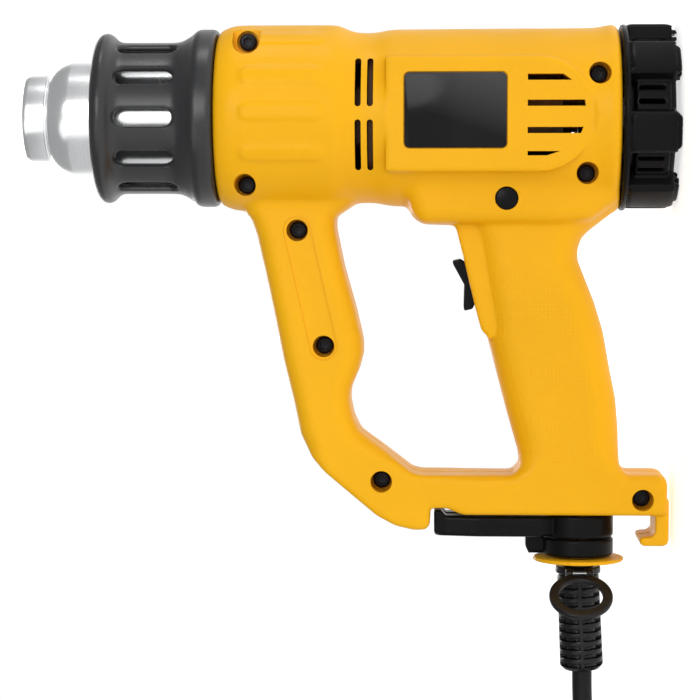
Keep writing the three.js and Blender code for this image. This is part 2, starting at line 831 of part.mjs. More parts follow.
add("heat_shield", heatShield(), SHIELD_GREY);
add("nozzle_tube", nozzleTube(), STEEL);
add("insulation_tube", sleeve(20.4, 19.7, 124, 234, 28), MICA);
add("heater_former", heaterFormer(), MICA);
add("heater_coil", swept(new Helix(17.6, 134, 228, 6), 0.7, 5, 66), STEEL);
add("heater_flange", sleeve(30.6, 17, 118.9, 120.6, 32), MICA);
add("thermocouple", thermocouple(), STEEL);

add("motor_can", turnedZ([[0, 41], [6, 41], [6, 44], [17.4, 45], [17.4, 83], [6, 84], [6, 86.6], [0, 86.6]], 28), STEEL);
add("motor_shaft", rod(1.5, 87, 109, 12), STEEL);
add("motor_mount", motorMount(), BLACK);
add("fan_impeller", fanImpeller(), BLACK);
add("air_guide", turnedZ(closedProfile([[30.5, 109.6], [30.5, 111.4], [19, 118.5], [17.2, 118.5], [17.2, 117], [28.6, 109.6]]), 24), BLACK);

add("rear_cap", rearCap(), BLACK);
add("temperature_dial", temperatureDial(), BLACK);
add("potentiometer", rod(8, 15.6, 23.1, 20), STEEL);
add("control_board", layer(rounded([[-20, -19, 3], [20, -19, 3], [20, 19, 3], [-20, 19, 3]]), 23.4, 25), BOARD);
add("capacitor", solid(new THREE.CylinderGeometry(4.5, 4.5, 12, 14).rotateX(Math.PI / 2).translate(-4, 9, 32)), BLACK);

add("switch_body", switchBody(), BLACK);
add("rocker_paddle", rockerPaddle(), BLACK);

add("kickstand_arm_left", kickstandLeft(), BLACK);
add("kickstand_arm_right", kickstandRight(), BLACK);

add("strain_relief", strainRelief(), RUBBER);
add("hang_collar", hangCollar(), RUBBER);
add("hang_ring", hangRing(), RUBBER);
add("hang_ring_pin", hingeBar(0.65, 5.4), STEEL);
add("cable_clamp", cableClamp(), BLACK);
[26.3, 48.3].forEach((z, k) => add(`clamp_screw_${k + 1}`, clampScrew(z), STEEL));

add("cord", cordRun(LEAD, 12), RUBBER);
add("cord_tail", cordRun(TAIL, 9), RUBBER);
add("cord_hank", cordHank(), RUBBER);
add("cord_tie", cordTie(), BLACK);
add("plug_body", plugBody(), RUBBER);
[-1, 1].forEach((s, k) => add(`plug_pin_${k + 1}`, plugPin((s * PLUG.pinSpacing) / 2), BRASS));

export default gun;
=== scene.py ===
import json
import math

import bpy
import numpy as np
from mathutils import Matrix, Vector


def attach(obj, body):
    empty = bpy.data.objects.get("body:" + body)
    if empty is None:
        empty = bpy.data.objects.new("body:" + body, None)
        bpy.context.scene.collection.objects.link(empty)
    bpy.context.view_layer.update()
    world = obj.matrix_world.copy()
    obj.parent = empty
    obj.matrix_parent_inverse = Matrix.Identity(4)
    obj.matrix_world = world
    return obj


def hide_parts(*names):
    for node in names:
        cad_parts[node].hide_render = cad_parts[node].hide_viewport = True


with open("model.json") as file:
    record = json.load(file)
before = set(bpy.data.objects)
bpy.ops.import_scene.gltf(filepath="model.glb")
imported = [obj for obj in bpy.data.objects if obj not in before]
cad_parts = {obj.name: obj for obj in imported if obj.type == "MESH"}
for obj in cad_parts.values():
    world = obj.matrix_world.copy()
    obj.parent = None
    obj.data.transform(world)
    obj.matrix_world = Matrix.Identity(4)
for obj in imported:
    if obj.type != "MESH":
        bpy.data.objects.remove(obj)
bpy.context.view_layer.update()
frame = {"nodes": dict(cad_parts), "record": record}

MM = 0.001
BASE_SHIFT = 79  # barrel axis to the middle of the footprint
PIVOT_Z = 37.3  # axis of the kickstand, spigot and cable exit


def row(x, y, z):
    """A point given in gun millimetres (x up from the barrel's axis), in the row frame's metres."""
    return Vector(((x + BASE_SHIFT) * MM, y * MM, z * MM))


# ==== camera, lights, floor

SENSOR_WIDTH = 36
FOCAL_LENGTH = 122.3
CAMERA_PLACE = Vector((0.0438, -0.95, 0.0888))
CAMERA_TARGET = Vector((-0.0134, 0, 0.1288))


def make_camera():
    data = bpy.data.cameras.new("camera")
    data.sensor_width = SENSOR_WIDTH
    data.lens = FOCAL_LENGTH
    data.clip_start, data.clip_end = 0.01, 20
    camera = bpy.data.objects.new("camera", data)
    forward = (CAMERA_TARGET - CAMERA_PLACE).normalized()
    right = forward.cross(Vector((1, 0, 0))).normalized()
    up = right.cross(forward)
    turn = Matrix((right, up, -forward)).transposed().to_4x4()
    camera.matrix_world = Matrix.Translation(CAMERA_PLACE) @ turn
    bpy.context.scene.collection.objects.link(camera)
    bpy.context.scene.camera = camera


def area_light(name, place, target, size, power):
    data = bpy.data.lights.new(name, "AREA")
    data.shape = "DISK"
    data.size = size
    data.energy = power
    light = bpy.data.objects.new(name, data)
    light.location = place
    light.rotation_mode = "QUATERNION"
    light.rotation_quaternion = (Vector(target) - Vector(place)).to_track_quat("-Z", "Y")
    bpy.context.scene.collection.objects.link(light)


def make_studio():
    area_light("key", (0.45, -1.35, 0.5), (0, 0, 0.12), 0.7, 5.5)
    area_light("fill", (-0.5, -1.2, 0.9), (0, 0, 0.1), 1.0, 2)
    area_light("strip", (1.25, -0.05, 0.25), (0, 0, 0.12), 0.3, 1.6)
    area_light("back", (0.1, 1.3, 0.9), (0, 0, 0.1), 1.0, 6)
    # White in front, behind and along the horizon, grey to the sides and above.
    world = bpy.data.worlds.new("studio")
    world.use_nodes = True
    tree = world.node_tree
    parts = tree.nodes.new("ShaderNodeSeparateXYZ")
    tree.links.new(tree.nodes.new("ShaderNodeTexCoord").outputs["Generated"], parts.inputs[0])

    def wall(axis, dark, bright):
        size = tree.nodes.new("ShaderNodeMath")
        size.operation = "ABSOLUTE"
        tree.links.new(parts.outputs[axis], size.inputs[0])
        fall = tree.nodes.new("ShaderNodeMapRange")
        tree.links.new(size.outputs[0], fall.inputs["Value"])
        for name, value in (("From Min", dark), ("From Max", bright), ("To Min", 0.38), ("To Max", 1.01)):
            fall.inputs[name].default_value = value
        return fall.outputs["Result"]

    brighter = tree.nodes.new("ShaderNodeMath")
    brighter.operation = "MAXIMUM"
    tree.links.new(wall("Y", 0.72, 0.94), brighter.inputs[0])
    tree.links.new(wall("Z", 0.19, 0.135), brighter.inputs[1])
    tree.links.new(brighter.outputs[0], tree.nodes["Background"].inputs["Strength"])
    tree.nodes["Background"].inputs["Color"].default_value = (1, 1, 1, 1)
    bpy.context.scene.world = world
    bpy.context.scene.view_settings.view_transform = "Standard"


def make_floor():
    half = 3
    corners = [(-half, -half, 0), (half, -half, 0), (half, half, 0), (-half, half, 0)]
    mesh = bpy.data.meshes.new("floor")
    mesh.from_pydata(corners, [], [(0, 1, 2, 3)])
    floor = bpy.data.objects.new("floor", mesh)
    bpy.context.scene.collection.objects.link(floor)
    material = bpy.data.materials.new("floor")
    material.use_nodes = True
    shader = material.node_tree.nodes["Principled BSDF"]
    shader.inputs["Base Color"].default_value = (0.8, 0.8, 0.8, 1)
    shader.inputs["Roughness"].default_value = 0.9
    shader.inputs["Emission Color"].default_value = (1, 1, 1, 1)
    shader.inputs["Emission Strength"].default_value = 0.62
    mesh.materials.append(material)


# ==== materials

class Graph:
    """A small helper that writes one procedural material's nodes."""

    def __init__(self, name):
        self.material = bpy.data.materials.new(name)
        self.material.use_nodes = True
        self.tree = self.material.node_tree
        self.shader = self.tree.nodes["Principled BSDF"]
        self.place = self.tree.nodes.new("ShaderNodeTexCoord").outputs["Object"]

    def node(self, kind, **inputs):
        made = self.tree.nodes.new(kind)
        for name, value in inputs.items():
            self.feed(made.inputs[name.replace("_", " ")], value)
        return made

    def feed(self, socket, value):
        if isinstance(value, bpy.types.NodeSocket):
            self.tree.links.new(value, socket)
        else:
            socket.default_value = value

    def noise(self, scale, detail, roughness=0.5):
        made = self.node("ShaderNodeTexNoise", Scale=scale, Detail=detail, Roughness=roughness)
        self.tree.links.new(self.place, made.inputs["Vector"])
        return made.outputs["Fac"]

    def spread(self, value, low, high, start=0.3, end=0.7):
        made = self.node("ShaderNodeMapRange", Value=value)
        for name, level in (("From Min", start), ("From Max", end), ("To Min", low), ("To Max", high)):
            made.inputs[name].default_value = level
        return made.outputs["Result"]

    def math(self, operation, a, b):
        made = self.tree.nodes.new("ShaderNodeMath")
        made.operation = operation
        self.feed(made.inputs[0], a)
        self.feed(made.inputs[1], b)
        return made.outputs[0]

    def mix(self, factor, a, b):
        made = self.tree.nodes.new("ShaderNodeMix")
        made.data_type = "RGBA"
        self.feed(made.inputs["Factor"], factor)
        self.feed(made.inputs[6], a)
        self.feed(made.inputs[7], b)
        return made.outputs[2]

    def bump(self, height, distance, strength=1.0, below=None):
        made = self.node("ShaderNodeBump", Height=height, Distance=distance, Strength=strength)
        if below is not None:
            self.tree.links.new(below, made.inputs["Normal"])
        return made.outputs["Normal"]

    def set(self, name, value):
        self.feed(self.shader.inputs[name], value)


def shade(colour, factor):
    return (*(c * factor for c in colour), 1)


def moulded(name, colour, rough, grain=1800, depth=0.00002, tone=0.06, gloss=0.5):
    """Moulded plastic or rubber: a fine grain, slow tone changes, rubbed patches and faint scuffs."""
    graph = Graph(name)
    slow = graph.spread(graph.noise(22, 4.0), 0, 1)
    scuff = graph.spread(graph.noise(160, 6.0, 0.7), 0, 1, 0.56, 0.72)
    body = graph.mix(slow, shade(colour, 1 - tone), shade(colour, 1 + tone))
    graph.set("Base Color", graph.mix(graph.math("MULTIPLY", scuff, 0.12), body, shade(colour, 1.25)))
    varied = graph.spread(graph.noise(60, 5.0), rough - 0.06, rough + 0.06)
    graph.set("Roughness", graph.math("ADD", varied, graph.math("MULTIPLY", scuff, 0.08)))
    normal = graph.bump(graph.noise(grain, 2.0), depth)
    graph.set("Normal", graph.bump(graph.noise(90, 2.0), 0.00004, 0.5, normal))
    graph.set("Specular IOR Level", gloss)
    return graph


def yellow_plastic():
    graph = moulded("yellow_plastic", (0.79, 0.395, 0.005), 0.4, tone=0.03, gloss=0.13)
    grip = graph.tree.nodes.new("ShaderNodeAttribute")
    grip.attribute_name = "grip"
    dots = graph.node("ShaderNodeTexVoronoi", Scale=620.0, Randomness=0.15)
    graph.tree.links.new(graph.place, dots.inputs["Vector"])
    raised = graph.spread(dots.outputs["Distance"], 1, 0, 0.18, 0.42)
    height = graph.math("MULTIPLY", raised, grip.outputs["Fac"])
    below = graph.shader.inputs["Normal"].links[0].from_socket
    graph.set("Normal", graph.bump(height, 0.00013, 0.7, below))
    return graph.material


def label_film():
    """Glossy black film with a painted sheen toward its upper rear: a faint grey band in the base colour that
    stands in for a reflection.
    """
    graph = moulded("gloss_label", (0.006, 0.006, 0.0065), 0.16, 900, 0.000004, 0.1, gloss=0.12)
    base = graph.shader.inputs["Base Color"].links[0].from_socket
    parts = graph.node("ShaderNodeSeparateXYZ")
    graph.tree.links.new(graph.place, parts.inputs[0])
    across = graph.math("SUBTRACT", parts.outputs["X"], graph.math("MULTIPLY", parts.outputs["Z"], 0.35))
    # Painted sheen: a faint grey band mixed into the base colour, standing in for a reflection toward the
    # upper rear.
    painted_sheen = graph.spread(across, 0, 0.055, 0.046, 0.068)
    graph.set("Base Color", graph.mix(painted_sheen, base, (0.8, 0.8, 0.8, 1)))
    return graph.material


def metal(name, colour, rough, brushed, shaded_below=None):
    """Metal with fine lines and smudges, and painted shade below a height if one is given: a dark brown for
    the part inside the housing.
    """
    graph = Graph(name)
    stretch = graph.node("ShaderNodeMapping")
    graph.tree.links.new(graph.place, stretch.inputs["Vector"])
    stretch.inputs["Scale"].default_value = brushed
    lines = graph.node("ShaderNodeTexNoise", Scale=90.0, Detail=4.0, Roughness=0.6)
    graph.tree.links.new(stretch.outputs["Vector"], lines.inputs["Vector"])
    smudge = graph.spread(graph.noise(45, 5.0), 0, 1)
    low = graph.math("ADD", graph.math("MULTIPLY", smudge, 0.09), rough - 0.04)
    graph.set("Roughness", graph.math("ADD", low, graph.math("MULTIPLY", lines.outputs["Fac"], 0.05)))
    clean = graph.mix(smudge, shade(colour, 0.94), shade(colour, 1.03))
    # Painted shade: below the given height, where the tube lies inside the housing, the colour turns a
    # near-black brown.
    if shaded_below is not None:
        parts = graph.node("ShaderNodeSeparateXYZ")
        graph.tree.links.new(graph.place, parts.inputs[0])
        inside_shade = graph.spread(parts.outputs["Z"], 0, 1, shaded_below + 0.008, shaded_below)
        clean = graph.mix(inside_shade, clean, (0.035, 0.022, 0.014, 1))
    graph.set("Base Color", clean)
    graph.set("Metallic", 1.0)
    graph.set("Normal", graph.bump(lines.outputs["Fac"], 0.000006, 0.6))
    return graph.material


def make_materials():
    return {
        "yellow_plastic": yellow_plastic(),
        "black_plastic": moulded("black_plastic", (0.0035, 0.0035, 0.004), 0.3, gloss=0.1).material,
        "shield_plastic": moulded("shield_plastic", (0.017, 0.0175, 0.019), 0.3, gloss=0.45).material,
        "black_rubber": moulded("black_rubber", (0.005, 0.005, 0.0055), 0.32, 1400, 0.00003,
                                gloss=0.28).material,
        "cord_rubber": moulded("cord_rubber", (0.006, 0.006, 0.0065), 0.45, 1200, 0.00003,
                               gloss=0.18).material,
        "tie_fabric": moulded("tie_fabric", (0.012, 0.012, 0.014), 0.85, 900, 0.00012, 0.2,
                              gloss=0.2).material,
        "gloss_label": label_film(),
        "circuit_board": moulded("circuit_board", (0.03, 0.14, 0.05), 0.4).material,
        # Mica: its own amber brown, darkened further as painted shade for the heater seen through the vents.
        "mica": moulded("mica", (0.06, 0.03, 0.017), 0.6, 700, 0.00006, 0.15, gloss=0.2).material,
        # The nozzle tube gets painted shade below 165 mm, where it runs inside the housing.
        "nozzle_steel": metal("nozzle_steel", (0.87, 0.88, 0.89), 0.22, (1, 1, 40), shaded_below=0.165),
        "plated_steel": metal("plated_steel", (0.60, 0.61, 0.62), 0.32, (1, 1, 8)),
        "black_screw": metal("black_screw", (0.018, 0.018, 0.02), 0.36, (8, 8, 8)),
        "pin_brass": metal("pin_brass", (0.75, 0.56, 0.24), 0.26, (6, 1, 1)),
    }


def dress_frame():
    """Gives every CAD node the procedural material of its slot."""
    slot_of = {part["node"]: part["material_slot"] for part in frame["record"]["subparts"]}
    for name, node in frame["nodes"].items():
        node.data.materials.clear()
        node.data.materials.append(MATERIALS[slot_of[name]])


# ==== pieces

def new_object(name, mesh, slot, body, *nodes):
    """Puts a finished mesh in the scene as the piece that stands for the given CAD nodes."""
    piece = bpy.data.objects.new(name, mesh)
    bpy.context.scene.collection.objects.link(piece)
    piece.data.materials.clear()
    piece.data.materials.append(MATERIALS[slot])
    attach(piece, body)
    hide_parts(*nodes)
    return piece


def mesh_of(name, points, faces):
    """A mesh from gun-millimetre points and equal-sized faces."""
    points = (np.asarray(points, float) + (BASE_SHIFT, 0, 0)) * MM
    mesh = bpy.data.meshes.new(name)
    if isinstance(faces, np.ndarray):
        count, sides = faces.shape
        mesh.vertices.add(len(points))
        mesh.vertices.foreach_set("co", points.astype(np.float32).ravel())
        mesh.loops.add(count * sides)
        mesh.loops.foreach_set("vertex_index", faces.astype(np.int32).ravel())
        mesh.polygons.add(count)
        mesh.polygons.foreach_set("loop_start", np.arange(0, count * sides, sides, dtype=np.int32))
        mesh.update(calc_edges=True)
    else:
        mesh.from_pydata([tuple(p) for p in points], [], faces)
    mesh.shade_smooth()
    return mesh


# ==== distance fields

def grid(lo, hi, pitch):
    axes = [np.arange(a - 2 * pitch, b + 2.5 * pitch, pitch, dtype=np.float32) for a, b in zip(lo, hi)]
    return axes[0][:, None, None], axes[1][None, :, None], axes[2][None, None, :]


def polygon(points, a, b):
    """Signed distance to a closed outline, negative inside."""
    a, b = np.broadcast_arrays(a, b)
    points = np.asarray(points, np.float32)
    nearest = np.full(a.shape, 1e9, np.float32)
    inside = np.zeros(a.shape, bool)
    for (a0, b0), (a1, b1) in zip(points, np.roll(points, -1, 0)):
        da, db = a1 - a0, b1 - b0
        along = np.clip(((a - a0) * da + (b - b0) * db) / (da * da + db * db + 1e-12), 0, 1)
        nearest = np.minimum(nearest, (a - a0 - along * da) ** 2 + (b - b0 - along * db) ** 2)
        if abs(db) > 1e-9:
            crosses = ((b0 > b) != (b1 > b)) & (a < (b - b0) * (da / db) + a0)
            inside ^= crosses
    away = np.sqrt(nearest)
    return np.where(inside, -away, away).astype(np.float32)


def blurred(field, steps):
    """Rounds the corners of a two-dimensional field, by a Gaussian of that many samples."""
    if steps < 0.3:
        return field
    reach = max(1, int(3 * steps))
    weights = np.exp(-0.5 * (np.arange(-reach, reach + 1) / steps) ** 2)
    weights /= weights.sum()
    for axis in (0, 1):
        padded = np.pad(field, [(reach, reach) if k == axis else (0, 0) for k in (0, 1)], "edge")
        span = field.shape[axis]
        field = sum(w * np.take(padded, np.arange(k, k + span), axis) for k, w in enumerate(weights))
    return field.astype(np.float32)


def side_field(points, x, z, rounding=0.0):
    """The field of a side outline written [along the barrel, up], over the grid's X and Z."""
    pitch = float(x[1, 0, 0] - x[0, 0, 0])
    flat = polygon([(p[1], p[0]) for p in points], x[:, 0, :], z[0, :, :])
    return blurred(flat, rounding / pitch)[:, None, :]


def turned_field(profile, radius, along, rounding=0.0):
    """The field of a [radius, height] profile turned about an axis."""
    step = 0.25
    line = np.arange(-2, float(radius.max()) + 2, step, dtype=np.float32)
    span = along.ravel()
    profile = [(-20 if r == 0 else r, h) for r, h in profile]
    table = polygon(profile, line[:, None], span[None, :])
    if rounding:
        table = blurred(table, rounding / step)
    place = (radius + 2) / step
    low = np.clip(place.astype(np.int32), 0, len(line) - 2)
    share = (place - low).astype(np.float32)
    shape = np.broadcast_shapes(radius.shape, along.shape)
    axis = [k for k in range(3) if along.shape[k] > 1][0]
    column = np.arange(len(span)).reshape([-1 if k == axis else 1 for k in range(3)])
    low, share, column = (np.broadcast_to(v, shape) for v in (low, share, column))
    return table[low, column] * (1 - share) + table[low + 1, column] * share


def thick(flat, across, half, edge):
    """A flat field made thick, with rounded long edges."""
    u = flat + edge
    v = np.abs(across) - (half - edge)
    return np.minimum(np.maximum(u, v), 0) + np.hypot(np.maximum(u, 0), np.maximum(v, 0)) - edge


def box_field(x, y, z, lo, hi, edge=0.0):
    centre, half = np.add(lo, hi) / 2, np.subtract(hi, lo) / 2 - edge
    q = [np.abs(v - c) - h for v, c, h in zip((x, y, z), centre, half)]
    outside = np.sqrt(sum(np.maximum(v, 0) ** 2 for v in q))
    return outside + np.minimum(np.maximum(np.maximum(q[0], q[1]), q[2]), 0) - edge


def soft_union(a, b, reach):
    share = np.clip(0.5 + 0.5 * (b - a) / reach, 0, 1)
    return b + (a - b) * share - reach * share * (1 - share)


def union(*fields):
    result = fields[0]
    for field in fields[1:]:
        result = np.minimum(result, field)
    return result


def less(field, *cuts):
    for tool in cuts:
        field = np.maximum(field, -tool)
    return field


def ramp(value, start, end):
    share = np.clip((value - start) / (end - start), 0, 1)
    return share * share * (3 - 2 * share)


def surface(field, x, y, z):
    """Points and quads of the zero surface of a field, one point per crossed cell."""
    start = np.array([x.ravel()[0], y.ravel()[0], z.ravel()[0]])
    pitch = float(x[1, 0, 0] - x[0, 0, 0])
    field = np.broadcast_to(field, np.broadcast_shapes(x.shape, y.shape, z.shape))
    field = np.pad(field[1:-1, 1:-1, 1:-1], 1, constant_values=1e3).astype(np.float32)
    shape = np.array(field.shape)
    inside = field < 0
    cells, places, quads = [], [], []
    stride = np.array([shape[1] * shape[2], shape[2], 1])
    for axis in range(3):
        near = [slice(None)] * 3
        far = [slice(None)] * 3
        near[axis], far[axis] = slice(None, -1), slice(1, None)
        near, far = tuple(near), tuple(far)
        at = np.argwhere(inside[near] != inside[far])
        low = field[near][tuple(at.T)]
        high = field[far][tuple(at.T)]
        point = at.astype(np.float32)
        point[:, axis] += np.clip(low / (low - high), 0.02, 0.98)
        b, c = (axis + 1) % 3, (axis + 2) % 3
        corner = at @ stride
        ring = np.stack([corner - stride[b] - stride[c], corner - stride[c], corner, corner - stride[b]], 1)
        ring = np.where((low < 0)[:, None], ring, ring[:, ::-1])
        quads.append(ring)
        cells.append(ring.ravel())
        places.append(np.repeat(point, 4, 0))
    ids, order = np.unique(np.concatenate(cells), return_inverse=True)
    places = np.concatenate(places)
    total = np.bincount(order)
    points = np.stack([np.bincount(order, places[:, k]) / total for k in range(3)], 1)
    faces = np.searchsorted(ids, np.concatenate(quads))
    return points * pitch + start, faces


# ==== cutting

def prism(outline, lo, hi):
    """A closed prism on an outline of [along the barrel, up], from y = lo to y = hi."""
    count = len(outline)
    points = [(up, level, along) for level in (lo, hi) for along, up in outline]
    faces = [tuple(range(count)), tuple(range(2 * count - 1, count - 1, -1))]
    faces += [((k + 1) % count, k, k + count, (k + 1) % count + count) for k in range(count)]
    return points, faces


def ring_points(a, b, radius, count=40, start=0.0, end=2 * math.pi):
    return [(a + radius * math.cos(t), b + radius * math.sin(t))
            for t in np.linspace(start, end, count, endpoint=False)]


def rounded_box(a0, a1, b0, b1, radius, count=6):
    points = []
    for a, b, turn in ((a1, b1, 0), (a0, b1, 1), (a0, b0, 2), (a1, b0, 3)):
        ca = a - radius if a == a1 else a + radius
        cb = b - radius if b == b1 else b + radius
        for k in range(count + 1):
            angle = math.pi / 2 * (turn + k / count)
            points.append((ca + radius * math.cos(angle), cb + radius * math.sin(angle)))
    return points


def wound_inwards(points, faces):
    """Whether the faces of a closed shape point inwards."""
    p = np.array(points, float)
    return sum(float(np.dot(p[f[0]], np.cross(p[f[k]], p[f[k + 1]])))
               for f in faces for k in range(1, len(f) - 1)) < 0


def closed_mesh(name, points, faces, crisp):
    """A closed mesh with its faces outwards. Edges that turn by more than crisp, in degrees, stay sharp."""
    mesh = mesh_of(name, points, faces)
    if wound_inwards(points, faces):
        mesh.flip_normals()
    mesh.set_sharp_from_angle(angle=math.radians(crisp))
    return mesh


def cut_away(piece, tools):
    """Subtracts closed (points, faces) tools from a piece, all at once, whichever way each one is wound."""
    points, faces = [], []
    for tool_points, tool_faces in tools:
        if wound_inwards(tool_points, tool_faces):
            tool_faces = [tuple(reversed(face)) for face in tool_faces]
        faces += [tuple(i + len(points) for i in face) for face in tool_faces]
        points += tool_points
    mesh = mesh_of("tool", points, faces)
    tool = bpy.data.objects.new("tool", mesh)
    bpy.context.scene.collection.objects.link(tool)
    modifier = piece.modifiers.new("cut", "BOOLEAN")
    modifier.operation = "DIFFERENCE"
    modifier.solver = "MANIFOLD"
    modifier.object = tool
    bpy.context.view_layer.update()
    evaluated = piece.evaluated_get(bpy.context.evaluated_depsgraph_get())
    result = bpy.data.meshes.new_from_object(evaluated)
    piece.modifiers.remove(modifier)
    old = piece.data
    piece.data = result
    result.name = old.name
    bpy.data.meshes.remove(old)
    bpy.data.objects.remove(tool)
    bpy.data.meshes.remove(mesh)


# ==== power cord

CORD_RADIUS = 4.0
LOW, HIGH = 5.3, 13.3  # centre heights of the hank's two layers
ENDS = (-289.0, -349.0)  # where the hank's near and far bends begin
SPAN_STEPS = 4  # points of the smoothed line for each one of the route

LEAD = [
    (-212, 0, 35.9), (-217, 0, 35.7), (-220.9, 0, 35.5), (-229, 0, 35.4), (-238, -0.8, 35),
    (-247, -3.4, 34.2),
    (-256, -7.9, 33), (-265, -13.6, 31.2), (-274, -19.8, 28.7), (-283, -25.6, 25.5), (-290, -29.4, 22.6),
    (-298, -32.4, 18.6), (-306, -33.8, 15.2), (-314, -34, 13.6),
]
TAIL = [
    (-358, -34, 5.4), (-367, -33.9, 5.7), (-376, -33.2, 6.1), (-379, -32.8, 6.3), (-385, -31.2, 6.5),
    (-393, -28.3, 6.8), (-401, -24.7, 7.1), (-408, -21.4, 7.2),
]


def bend(end, y0, y1, heights, flat=1.0):
    """Half a turn at one end of the hank, from y0 to y1, at the heights given along it."""
    outward = 1 if end == ENDS[0] else -1
    middle, half = (y0 + y1) / 2, (y0 - y1) / 2
    points = []
    for k in range(1, 16):
        angle = math.pi / 2 - math.pi * k / 16
        height = np.interp(k / 16, np.linspace(0, 1, len(heights)), heights)
        reach = outward * flat * abs(half) * math.cos(angle)
        points.append((end + reach, middle + half * math.sin(angle), height))
    return points


def run(start, end, y, heights):
    return [(start + (end - start) * t, y, h) for t, h in zip(np.linspace(0, 1, len(heights)), heights)]


def level_turns(lanes, height):
    """Runs to and fro from the near end, one in each lane, joined by level bends."""
    points = []
    for k, lane in enumerate(lanes):
        start, end = ENDS[k % 2], ENDS[1 - k % 2]
        points += run(start, end, lane, [height] * 5)
        if k + 1 < len(lanes):
            points += bend(end, lane, lanes[k + 1], [height] * 3)
    return points


def cord_route():
    near, far = ENDS
    route = list(LEAD)
    route += run(-326, far, -34, [HIGH] * 3)
    route += bend(far, -34, 50, [HIGH, HIGH, 12, 9.5, 7, LOW, LOW, LOW, LOW])
    route += run(far, near, 50, [LOW, LOW, LOW, LOW, 5.6, 7.4])
    route += bend(near, 50, -26, [7.6, 9.4, 11.6, 13.1, HIGH, HIGH, HIGH, HIGH, HIGH, HIGH])
    route += level_turns((-26, 42, -18, 34), HIGH)
    route += bend(near, 34, -18, [HIGH, HIGH, 13.1, 11.6, 9.3, 7, 5.5, LOW, LOW], 0.8)
    route += level_turns((-18, 34, -26, 42, -34), LOW)
    return route + TAIL


def smooth_line(points):
    """A line through the points, rounded by a Catmull-Rom curve."""
    p = np.array([points[0], *points, points[-1]], float)
    out = []
    for a, b, c, d in zip(p, p[1:], p[2:], p[3:]):
        for t in np.linspace(0, 1, SPAN_STEPS, endpoint=False):
            out.append(0.5 * (2 * b + (c - a) * t + (2 * a - 5 * b + 4 * c - d) * t * t
                              + (3 * b - a - 3 * c + d) * t ** 3))
    out.append(p[-1])
    return np.array(out)


def make_cord(plug_pieces):
    line = smooth_line(cord_route())
    curve = bpy.data.curves.new("power_cord", "CURVE")
    curve.dimensions = "3D"
    curve.bevel_depth = CORD_RADIUS * MM
    curve.bevel_resolution = 5
    curve.use_fill_caps = True
    spline = curve.splines.new("POLY")
    spline.points.add(len(line) - 1)
    for point, place in zip(spline.points, line):
        point.co = (*row(*place), 1)
    cord = new_object("power_cord", curve, "cord_rubber", "gun", "cord", "cord_hank", "cord_tail")


# ==== housing

# Turned outline of the barrel, [radius, along].
BARREL = [
    (0, 22.7), (37.3, 22.7), (37.3, 26.6), (35.7, 28.6), (35.4, 34.4), (35.0, 113.4), (33.5, 117.8),
    (33.8, 128.1), (36.8, 132), (36.8, 174.7), (34.1, 180.6), (0, 180.6),
]
# Side outlines are [along the barrel, up].
HANDLE = [
    (169.2, -20), (169.4, -38), (167.6, -39.4), (165.2, -46.2), (162.2, -59.3), (158.4, -76.8),
    (154.5, -96.4),
    (150.7, -111.8), (147.9, -125.3), (143.4, -134.3), (138.4, -139.9), (127.1, -149.4), (117.6, -157.3),
    (110.3, -161.2), (103, -162.9), (98, -162.8), (96.5, -160.6), (96.5, -155.9), (96.4, -154.2),
    (90, -154.2),
    (83.6, -156.8), (3.4, -156.8), (3, -144), (3.9, -141.6), (6.4, -140.6), (19.2, -140.6), (21.8, -137),
    (22.2, -122.7), (23.2, -110.9), (25.8, -98.2), (28.3, -84.2), (31.9, -72.5), (36, -62.3), (38.4, -56.2),
    (38.5, -52.1), (37, -47.5), (34, -44.5), (26.8, -38.8), (23.2, -35.6), (23.2, -20),
]
FINGER_HOLE = [
    (134.2, -39.2), (130.1, -36.3), (127.8, -34.2), (127, -30), (106, -30), (105.6, -34.2), (103.9, -37.9),
    (102.3, -39.9), (99.4, -41.3), (87, -41.8), (83.7, -54.6), (78.8, -75.2), (76.4, -84), (74.1, -86),
    (70.2, -101.2), (66.6, -115), (61.5, -132.9), (61, -137.5), (64, -141), (100.2, -141), (104.1, -139.9),
    (107.5, -137.1), (115.9, -130.4), (124.3, -124.2), (127.1, -118.6), (128.5, -111.8), (128.2, -107.3),
    (124.9, -99.5), (123.3, -93.3), (123.5, -87.7), (126.4, -75.3), (131.2, -58.3), (134.2, -43.8),
]
SHOULDER = [(24, -8), (24, -33), (34, -40.5), (46, -41.8), (99.4, -41.6), (103.6, -38), (106, -30), (106, -8)]
SWITCH_STRIP = [(92, -38), (80.7, -38), (80.7, -40.9), (73.4, -82.4), (74, -84.6), (92, -84.6)]
HOOK = [
    (2.2, -150), (2.2, -167.6), (3.8, -169.2), (12.6, -169.2), (13.9, -167.6), (13.6, -165.6), (9, -165.4),
    (7.7, -164), (7.7, -150),
]
# The hollows inside the grip and base, and inside the front post.
GRIP_HOLLOW = [
    (43.5, -24), (42.5, -52), (32.8, -78), (25.6, -118), (25, -137.2), (6.4, -144), (6.4, -153.6),
    (85, -153.6),
    (92, -151.4), (105, -151.4), (107, -144.6), (62, -144.2), (56.6, -137), (71.3, -85.5), (84, -45),
    (86, -24),
]
POST_HOLLOW = [(138.4, -38), (163.4, -38), (143.5, -128), (132, -134.5), (133, -108), (126.8, -91)]
# Half widths, radii and walls.
HANDLE_HALF = 16.0
STRIP_HALF = 12.4
HOOK_HALF = 13.0
HOLLOW_HALF = 12.8
WALL = 3.2
BORE = 31.0
HEATER_ROOM = (22.8, 118)  # radius kept clear of bosses, and where it starts along the barrel
SPIGOT_RADIUS = 8.6
CABLE_WAY = 6.2
BOSS_RADIUS = 5.8
CLAMP_POSTS = (26.3, 48.3)
CLAMP_POST_RADIUS = 3.2
PAD = (22.7, -21.7, 113.9, 55)  # top, bottom, front edge, centre of the round end
PAD_FACE = 34.6
